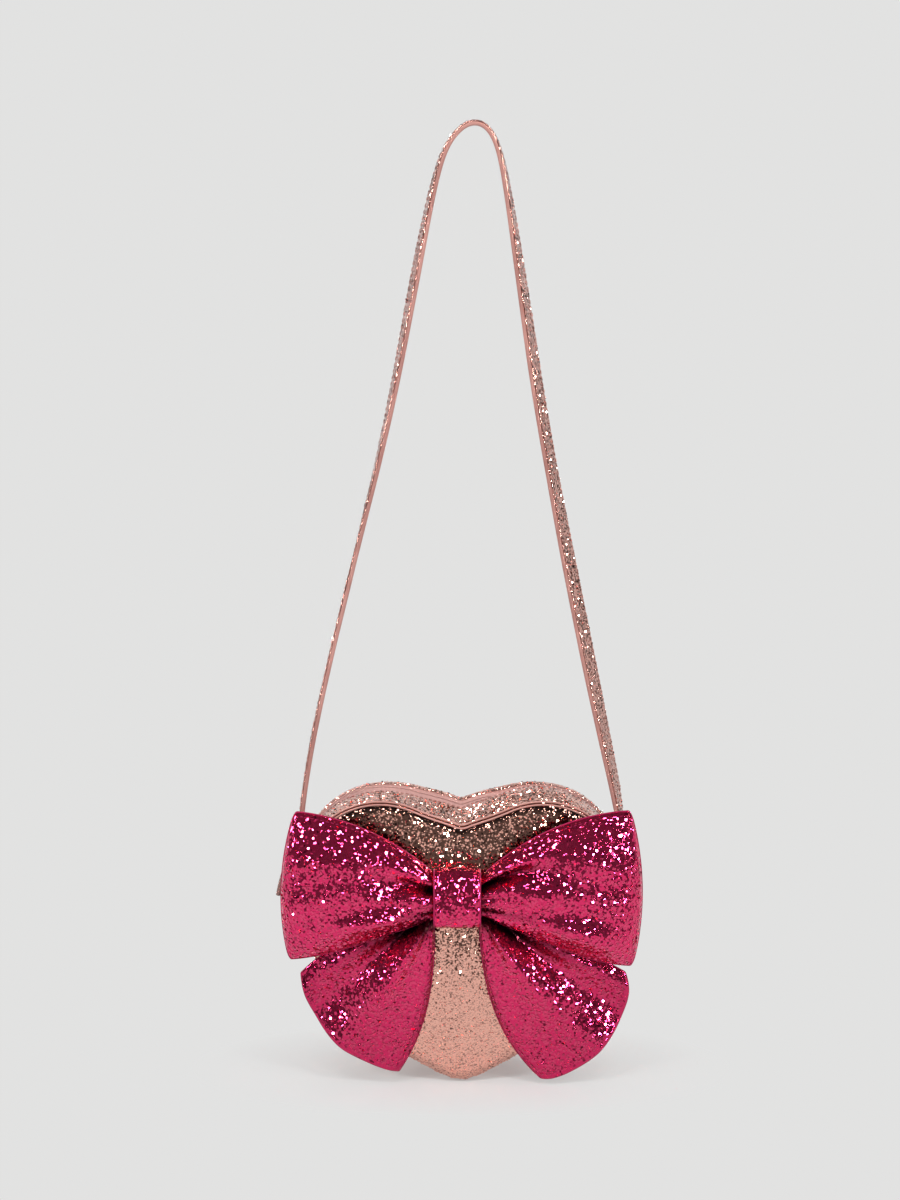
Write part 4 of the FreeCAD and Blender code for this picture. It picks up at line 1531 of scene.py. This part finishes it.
def tail_surface(tail, u, v):
    """Front of a bow tail. u runs from the knot to the hem and v from the inner edge to the outer: a patch
    between four curved edges that lies over the panel's swell. The inner edge turns back to the panel, and
    two ridges with a valley between them spread from the knot and flatten to the hem."""
    inner, outer = bezier(tail["inner"], u), bezier(tail["outer"], u)
    hem = bezier(tail["hem"], v)
    low, high = np.array(tail["inner"][0]), np.array(tail["outer"][0])
    root = low + v[..., None] * (high - low)
    near, far = np.array(tail["hem"][0]), np.array(tail["hem"][3])
    share_u, share_v = u[..., None], v[..., None]
    corners = (1 - share_u) * root + share_u * (near + share_v * (far - near))
    flat = (1 - share_v) * inner + share_v * outer + (1 - share_u) * root + share_u * hem - corners
    stand = TAIL_STAND * (1 - (1 - clipped(v / 0.10)) ** 2) * (1 - 0.55 * u)
    ridges = sum(height * bell(v, middle, width) for height, middle, width in TAIL_RIDGES)
    ridges = ridges * (TAIL_RIDGE - TAIL_RIDGE_LOSS * u) * np.clip(u / 0.10, 0.35, 1.0)
    fine = TAIL_GATHERS * np.exp(-u / 0.25) * (1 + np.cos(30.0 * v))
    slack = TAIL_SLACK * (1 + np.sin(8.0 * u + 5.0 * v))
    wave = np.maximum(stand + ridges + fine, 0.0)
    x, z = flat[..., 0], flat[..., 1]
    lie = FRONT_FACE - swell(edge_share(x, z), z) - bulge(x, z) - TAIL_GAP
    return np.stack([x, lie - wave - slack, z], -1)


def painted_tail_shade(front, loop, u, v):
    """Painted shade on a tail's front: a painted shadow below the loop's lower edge, shade in the valley
    between the ridges and along the inner turn, and a little towards the hem."""
    edge = bezier(loop["bottom"], np.linspace(0.0, 1.0, 60))
    away = loop["side"] * front[..., 0]
    gap = np.interp(away, loop["side"] * edge[:, 0], edge[:, 1]) - front[..., 2]
    # Painted shadow of the loop on the tail, just below its lower edge
    under = bell(np.clip(gap, 0.0, None), 0.0, 0.0075) * clipped(1.45 - away / 0.055)
    valley = 0.75 * bell(v, TAIL_VALLEY, 0.055) * clipped(1 - u / 0.65)
    inner = 0.6 * bell(v, 0.0, 0.05) * clipped(1.2 - u)
    # Painted shade, growing towards the hem
    hem = 0.22 * u**2
    return np.clip(under + valley + inner + hem, 0.0, DARKEST_PAINTED_SHADE)


def bow_tails():
    """Hanging tails of the bow with their flakes, their hem and the seam inside it."""
    u, v = grid_of(90, 90)
    for number, (side, tail) in enumerate(TAILS.items()):
        name = "bow_tail_" + side
        front = tail_surface(tail, u, v)
        back = front + (0.0, TAIL_THICKNESS, 0.0)
        crease = painted_tail_shade(front, LOOPS[side], u, v)
        cloth = bow_cloth(name, front, back, crease)
        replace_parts(cloth, name)
        seed, right = 20 + 2 * number, tail["side"] > 0
        pieces = flakes_on_both_sides(name, front, back, crease, INSIDE_TAIL_HEM, seed, right, 1.2)
        line = tail_surface(tail, *edge_shares(0.05, 1.0, 0.0, 1.0)) + (0.0, HEM_DEPTH, 0.0)
        hem_cord(name + "_hem", line)
        line = tail_surface(tail, *edge_shares(0.12, 0.972, 0.035, 0.965)) - (0.0, BOW_THREAD, 0.0)
        pieces.append(stitches(name + "_seam", line, "bag", fuchsia_edge(), radius=BOW_THREAD))


def knot_surface(q, turn):
    """The bow's knot: a squared-off ellipse about a line across the bag, with its top leaning back, a hem
    groove inside each rim and faint gathers."""
    rim = 1 - 0.06 * np.abs(q) ** 24
    hem = -KNOT_GROOVE * bell(np.abs(q), KNOT_GROOVE_PLACE, 0.05)
    gathers = 0.010 * np.cos(9.0 * q + 0.6 * np.sin(2.0 * turn)) + 0.008 * np.sin(5.0 * q + 3.0 * turn)
    scale = rim + hem + gathers * (1 - q**8)
    x = KNOT_HALF[0] * q
    y = squared_off(np.cos(turn), 0.75) * KNOT_HALF[1] * scale
    z = squared_off(np.sin(turn), 0.75) * KNOT_HALF[2] * scale
    return np.stack([x, y + KNOT_LEAN * z, z], -1) + KNOT_MIDDLE


def ring_tube(ring, radius, sides):
    """A round tube about a closed ring of points that lies square to the bag's width."""
    along = unit(np.roll(ring, -1, axis=0) - np.roll(ring, 1, axis=0))
    first = np.broadcast_to((1.0, 0.0, 0.0), ring.shape)
    second = np.cross(along, first)
    angle = turns(sides)[None, :, None]
    return ring[:, None] + radius * (np.cos(angle) * first[:, None] + np.sin(angle) * second[:, None])


def bow_knot():
    """Band round the middle of the bow, with its flakes and hems."""
    angle = turns(KNOT_POINTS)
    grid = knot_surface(*np.meshgrid(np.linspace(-1.0, 1.0, 60), angle, indexing="ij"))
    cloth = tube_piece("bow_knot_cloth", grid, fuchsia_bed(), "bag")
    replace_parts(cloth, "bow_knot", "bow_core", "bow_tack")
    bow_flakes("bow_knot_flakes", grid[3:-3], seed=30, wrap=True)
    for name, side in (("left", -1.0), ("right", 1.0)):
        tube = ring_tube(knot_surface(np.full(KNOT_POINTS, side), angle), HEM_RADIUS, HEM_SIDES)
        ring_piece("bow_knot_hem_" + name, tube, fuchsia_edge(), "bag")


def fittings():
    """Rose gold metal on the zip's slider, pull and stops, which keep their own shapes."""
    for name in ("zip_slider", "zip_pull", "zip_stops"):
        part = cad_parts[name]
        part.data.materials.clear()
        part.data.materials.append(zip_metal())


# Studio
FLOOR_HALF = 8.0
SHADOW_PAINT = 0.35
SHADOW_REACH = (0.02, 0.075)
FILL_COLOUR = (0.9, 0.9, 0.92, 1.0)
FILL_STRENGTH = 0.48

# Dark screen seen only in glints: radius, share of it that lies on the floor in front, and its glint spots
SCREEN_RADIUS = 2.6
SCREEN_NEAR = 0.34
SCREEN_LIFT = 0.002
SCREEN_COLOUR = (0.09, 0.087, 0.084, 1.0)
SPOT_STRENGTH = 1100.0
SPOTS = 2.2
SPOT_RADIUS = 0.215
SPOT_SIDE = 0.85
SPOT_HEIGHT = 1.2
SPOT_RISE = 0.7

# Lamps round the heart, turn and rise in degrees
LAMP_AIM = np.array((0.0, 0.0, 0.10))
LAMP_DISTANCE = 2.0
LAMP_SIZE = 0.115
LAMP_POWER = 2.5
LAMPS = (
    (-58, 22), (-49, 18), (-53, 31), (-44, 27), (-38, 37), (-25, 52), (-15, 56),
    (58, 22), (49, 18), (53, 31), (44, 27), (38, 37), (25, 52), (15, 56),
    (150, 36), (178, 44), (207, 34),
)

# Camera in the row frame
CAMERA_LENS = 66.0
CAMERA_SENSOR = 36.0
CAMERA_PLACE = (-0.01345, -1.170, -0.0762)
CAMERA_SLOPE = 81.5


def seen_in_glints(tree):
    """The socket that is 1 for the camera and for what shows in metal and glass, and 0 for other light."""
    path = node(tree, "ShaderNodeLightPath").outputs
    first = maths(tree, "MAXIMUM", path["Is Camera Ray"], path["Is Glossy Ray"])
    return maths(tree, "MAXIMUM", first, path["Is Transmission Ray"])


def bare_material(name):
    """A material and its tree with no nodes."""
    material = bpy.data.materials.new(name)
    material.use_nodes = True
    material.node_tree.nodes.clear()
    return material, material.node_tree


def stage_mesh(name, points, faces, material):
    """A mesh object of the stage."""
    mesh = bpy.data.meshes.new(name)
    mesh.from_pydata(points.tolist(), [], faces)
    mesh.materials.append(material)
    made = bpy.data.objects.new(name, mesh)
    bpy.context.scene.collection.objects.link(made)
    return made


def studio_floor():
    """Pale floor: paint that takes the shadow round the bag, and further out an even glow for the camera
    and for glints."""
    material, tree = bare_material("Studio floor")
    pale = opaque(colours().pale)
    paint = node(tree, "ShaderNodeBsdfDiffuse", {"Color": pale})
    glow = node(tree, "ShaderNodeEmission", {"Color": pale, "Strength": 1.0})
    from_tip = vector_maths(tree, "SUBTRACT", object_place(tree), tuple(TIP))
    drawn_in = vector_maths(tree, "MULTIPLY", from_tip, (0.5, 1.0, 1.0))
    away = node(tree, "ShaderNodeVectorMath", {0: drawn_in}, operation="LENGTH").outputs["Value"]
    share = ranged(tree, away, SHADOW_PAINT, 1.0, *SHADOW_REACH)
    seen = maths(tree, "MULTIPLY", seen_in_glints(tree), share)
    both = node(tree, "ShaderNodeMixShader", {0: seen, 1: paint.outputs[0], 2: glow.outputs[0]})
    node(tree, "ShaderNodeOutputMaterial", {"Surface": both.outputs[0]})
    corners = FLOOR_HALF * np.array(((-1, -1, 0), (1, -1, 0), (1, 1, 0), (-1, 1, 0)))
    floor = stage_mesh("floor", corners + TIP, [(0, 1, 2, 3)], material)


def glint_spots(tree):
    """The socket that is 1 in round spots on both sides of the screen, a little above the bag: painted
    glints.
    """
    place = object_place(tree)
    middle = node(tree, "ShaderNodeTexVoronoi", {"Vector": place, "Scale": SPOTS}).outputs["Distance"]
    spot = maths(tree, "LESS_THAN", middle, SPOT_RADIUS)
    where = node(tree, "ShaderNodeSeparateXYZ", {0: place}).outputs
    wide = maths(tree, "GREATER_THAN", maths(tree, "ABSOLUTE", where["X"]), SPOT_SIDE)
    level = maths(tree, "COMPARE", where["Z"], TIP[2] + SPOT_HEIGHT, SPOT_RISE)
    return maths(tree, "MULTIPLY", maths(tree, "MULTIPLY", spot, wide), level)


def studio_screen():
    """Dark glowing sheet that shows only in glints, a painted dark reflection: it lies on the floor in front
    of the bag and rises as a part of a sphere, over the bag and down behind it."""
    turn = np.radians(np.linspace(-80, 80, 40))
    rise = np.radians(np.linspace(1, 142, 40))
    turn, rise = np.meshgrid(turn, rise, indexing="ij")
    dome = np.stack([np.sin(turn), -np.cos(turn) * np.cos(rise), np.cos(turn) * np.sin(rise)], -1)
    dome *= SCREEN_RADIUS
    near = dome[:, :1] * (SCREEN_NEAR, SCREEN_NEAR, 0.0) + (0.0, 0.0, SCREEN_LIFT)
    points = np.concatenate([near, dome], 1) + (0.0, 0.0, TIP[2])
    material, tree = bare_material("Dark screen")
    strength = maths(tree, "MULTIPLY_ADD", glint_spots(tree), SPOT_STRENGTH, 1.0)
    glow = node(tree, "ShaderNodeEmission", {"Color": SCREEN_COLOUR, "Strength": strength})
    node(tree, "ShaderNodeOutputMaterial", {"Surface": glow.outputs[0]})
    screen = stage_mesh("screen", points.reshape(-1, 3), quads(*points.shape[:2]).tolist(), material)
    screen.visible_camera = False
    screen.visible_diffuse = False
    screen.visible_shadow = False
    screen.visible_transmission = False


def studio_world():
    """Even pale surroundings for the camera and for glints, and a soft fill of other light."""
    world = bpy.data.worlds.new("Studio")
    world.use_nodes = True
    tree = world.node_tree
    tree.nodes.clear()
    shown = node(tree, "ShaderNodeBackground", {"Color": opaque(colours().pale), "Strength": 1.0})
    fill = node(tree, "ShaderNodeBackground", {"Color": FILL_COLOUR, "Strength": FILL_STRENGTH})
    seen = seen_in_glints(tree)
    both = node(tree, "ShaderNodeMixShader", {0: seen, 1: fill.outputs[0], 2: shown.outputs[0]})
    node(tree, "ShaderNodeOutputWorld", {"Surface": both.outputs[0]})
    bpy.context.scene.world = world


def lamp(name, turn, rise):
    """A square soft lamp at a turn and a rise round the heart, which it points to."""
    way = np.array((math.sin(turn) * math.cos(rise), -math.cos(turn) * math.cos(rise), math.sin(rise)))
    data = bpy.data.lights.new(name, "AREA")
    data.size = LAMP_SIZE
    data.energy = LAMP_POWER
    holder = bpy.data.objects.new(name, data)
    bpy.context.scene.collection.objects.link(holder)
    start = mathutils.Vector(TIP + LAMP_AIM + LAMP_DISTANCE * way)
    holder.location = start
    holder.rotation_euler = (mathutils.Vector(TIP + LAMP_AIM) - start).to_track_quat("-Z", "Y").to_euler()


def camera():
    """Camera at the photograph's height, distance and slope."""
    data = bpy.data.cameras.new("camera")
    data.lens = CAMERA_LENS
    data.sensor_width = CAMERA_SENSOR
    holder = bpy.data.objects.new("camera", data)
    holder.location = CAMERA_PLACE
    holder.rotation_euler = (math.radians(CAMERA_SLOPE), 0.0, 0.0)
    bpy.context.scene.collection.objects.link(holder)
    bpy.context.scene.camera = holder


def stage():
    """Floor, screen, surroundings, lamps and camera."""
    studio_floor()
    studio_screen()
    studio_world()
    for number, (turn, rise) in enumerate(LAMPS):
        lamp("lamp_%d" % number, math.radians(turn), math.radians(rise))
    camera()
    bpy.context.scene.view_settings.view_transform = "Standard"


# Operators
class PURSE_OT_front_panel(Operator):
    """Padded heart of the front"""

    bl_idname = "purse.front_panel"
    bl_label = "Front panel"

    def execute(self, context):
        front_panel()
        return {"FINISHED"}


class PURSE_OT_back_panel(Operator):
    """Padded heart of the back"""

    bl_idname = "purse.back_panel"
    bl_label = "Back panel"

    def execute(self, context):
        back_panel()
        return {"FINISHED"}


class PURSE_OT_gusset(Operator):
    """Strips round the sides and the top"""

    bl_idname = "purse.gusset"
    bl_label = "Gusset"

    def execute(self, context):
        gusset()
        return {"FINISHED"}


class PURSE_OT_piping(Operator):
    """Cords in the seams"""

    bl_idname = "purse.piping"
    bl_label = "Piping"

    def execute(self, context):
        piping()
        return {"FINISHED"}


class PURSE_OT_zip(Operator):
    """Tapes, coils and seams of the zip"""

    bl_idname = "purse.zip"
    bl_label = "Zip"

    def execute(self, context):
        zip_fastener()
        return {"FINISHED"}


class PURSE_OT_zip_tail(Operator):
    """Folded end of the zip"""

    bl_idname = "purse.zip_tail"
    bl_label = "Zip tail"

    def execute(self, context):
        zip_tail()
        return {"FINISHED"}


class PURSE_OT_lining(Operator):
    """Cloth inside the bag"""

    bl_idname = "purse.lining"
    bl_label = "Lining"

    def execute(self, context):
        lining()
        return {"FINISHED"}


class PURSE_OT_strap(Operator):
    """Strap with its backing and seams"""

    bl_idname = "purse.strap"
    bl_label = "Strap"

    def execute(self, context):
        strap()
        return {"FINISHED"}


class PURSE_OT_strap_anchors(Operator):
    """Stitches that hold the strap"""

    bl_idname = "purse.strap_anchors"
    bl_label = "Strap anchors"

    def execute(self, context):
        strap_anchors()
        return {"FINISHED"}


class PURSE_OT_bow_loops(Operator):
    """Loops of the bow"""

    bl_idname = "purse.bow_loops"
    bl_label = "Bow loops"

    def execute(self, context):
        bow_loops()
        return {"FINISHED"}


class PURSE_OT_bow_tails(Operator):
    """Tails of the bow"""

    bl_idname = "purse.bow_tails"
    bl_label = "Bow tails"

    def execute(self, context):
        bow_tails()
        return {"FINISHED"}


class PURSE_OT_bow_knot(Operator):
    """Knot of the bow"""

    bl_idname = "purse.bow_knot"
    bl_label = "Bow knot"

    def execute(self, context):
        bow_knot()
        return {"FINISHED"}


class PURSE_OT_fittings(Operator):
    """Metal of the zip"""

    bl_idname = "purse.fittings"
    bl_label = "Fittings"

    def execute(self, context):
        fittings()
        return {"FINISHED"}


class PURSE_OT_stage(Operator):
    """Floor, light and camera"""

    bl_idname = "purse.stage"
    bl_label = "Stage"

    def execute(self, context):
        stage()
        return {"FINISHED"}


OPERATORS = (
    PURSE_OT_front_panel,
    PURSE_OT_back_panel,
    PURSE_OT_gusset,
    PURSE_OT_piping,
    PURSE_OT_zip,
    PURSE_OT_zip_tail,
    PURSE_OT_lining,
    PURSE_OT_strap,
    PURSE_OT_strap_anchors,
    PURSE_OT_bow_loops,
    PURSE_OT_bow_tails,
    PURSE_OT_bow_knot,
    PURSE_OT_fittings,
    PURSE_OT_stage,
)


class PURSE_PT_panel(Panel):
    """Lists the settings and the pieces of the purse in the sidebar."""

    bl_label = "Heart purse"
    bl_idname = "PURSE_PT_panel"
    bl_space_type = "VIEW_3D"
    bl_region_type = "UI"
    bl_category = "Purse"

    def draw(self, context):
        for group in (context.scene.purse_sizes, context.scene.purse_colours):
            for key in group.bl_rna.properties.keys():
                if key not in ("rna_type", "name"):
                    self.layout.prop(group, key)
        for made in OPERATORS:
            self.layout.operator(made.bl_idname)


CLASSES = (PurseSizes, PurseColours, *OPERATORS, PURSE_PT_panel)


def register():
    """Adds the classes and the settings."""
    for made in CLASSES:
        bpy.utils.register_class(made)
    bpy.types.Scene.purse_sizes = PointerProperty(type=PurseSizes)
    bpy.types.Scene.purse_colours = PointerProperty(type=PurseColours)


def unregister():
    """Takes the settings and the classes away again."""
    del bpy.types.Scene.purse_colours
    del bpy.types.Scene.purse_sizes
    for made in reversed(CLASSES):
        bpy.utils.unregister_class(made)


def main():
    """Builds every piece and the stage."""
    register()
    bpy.ops.purse.front_panel()
    bpy.ops.purse.back_panel()
    bpy.ops.purse.gusset()
    bpy.ops.purse.piping()
    bpy.ops.purse.zip()
    bpy.ops.purse.zip_tail()
    bpy.ops.purse.lining()
    bpy.ops.purse.strap()
    bpy.ops.purse.strap_anchors()
    bpy.ops.purse.bow_loops()
    bpy.ops.purse.bow_tails()
    bpy.ops.purse.bow_knot()
    bpy.ops.purse.fittings()
    bpy.ops.purse.stage()


if __name__ == "__main__":
    main()
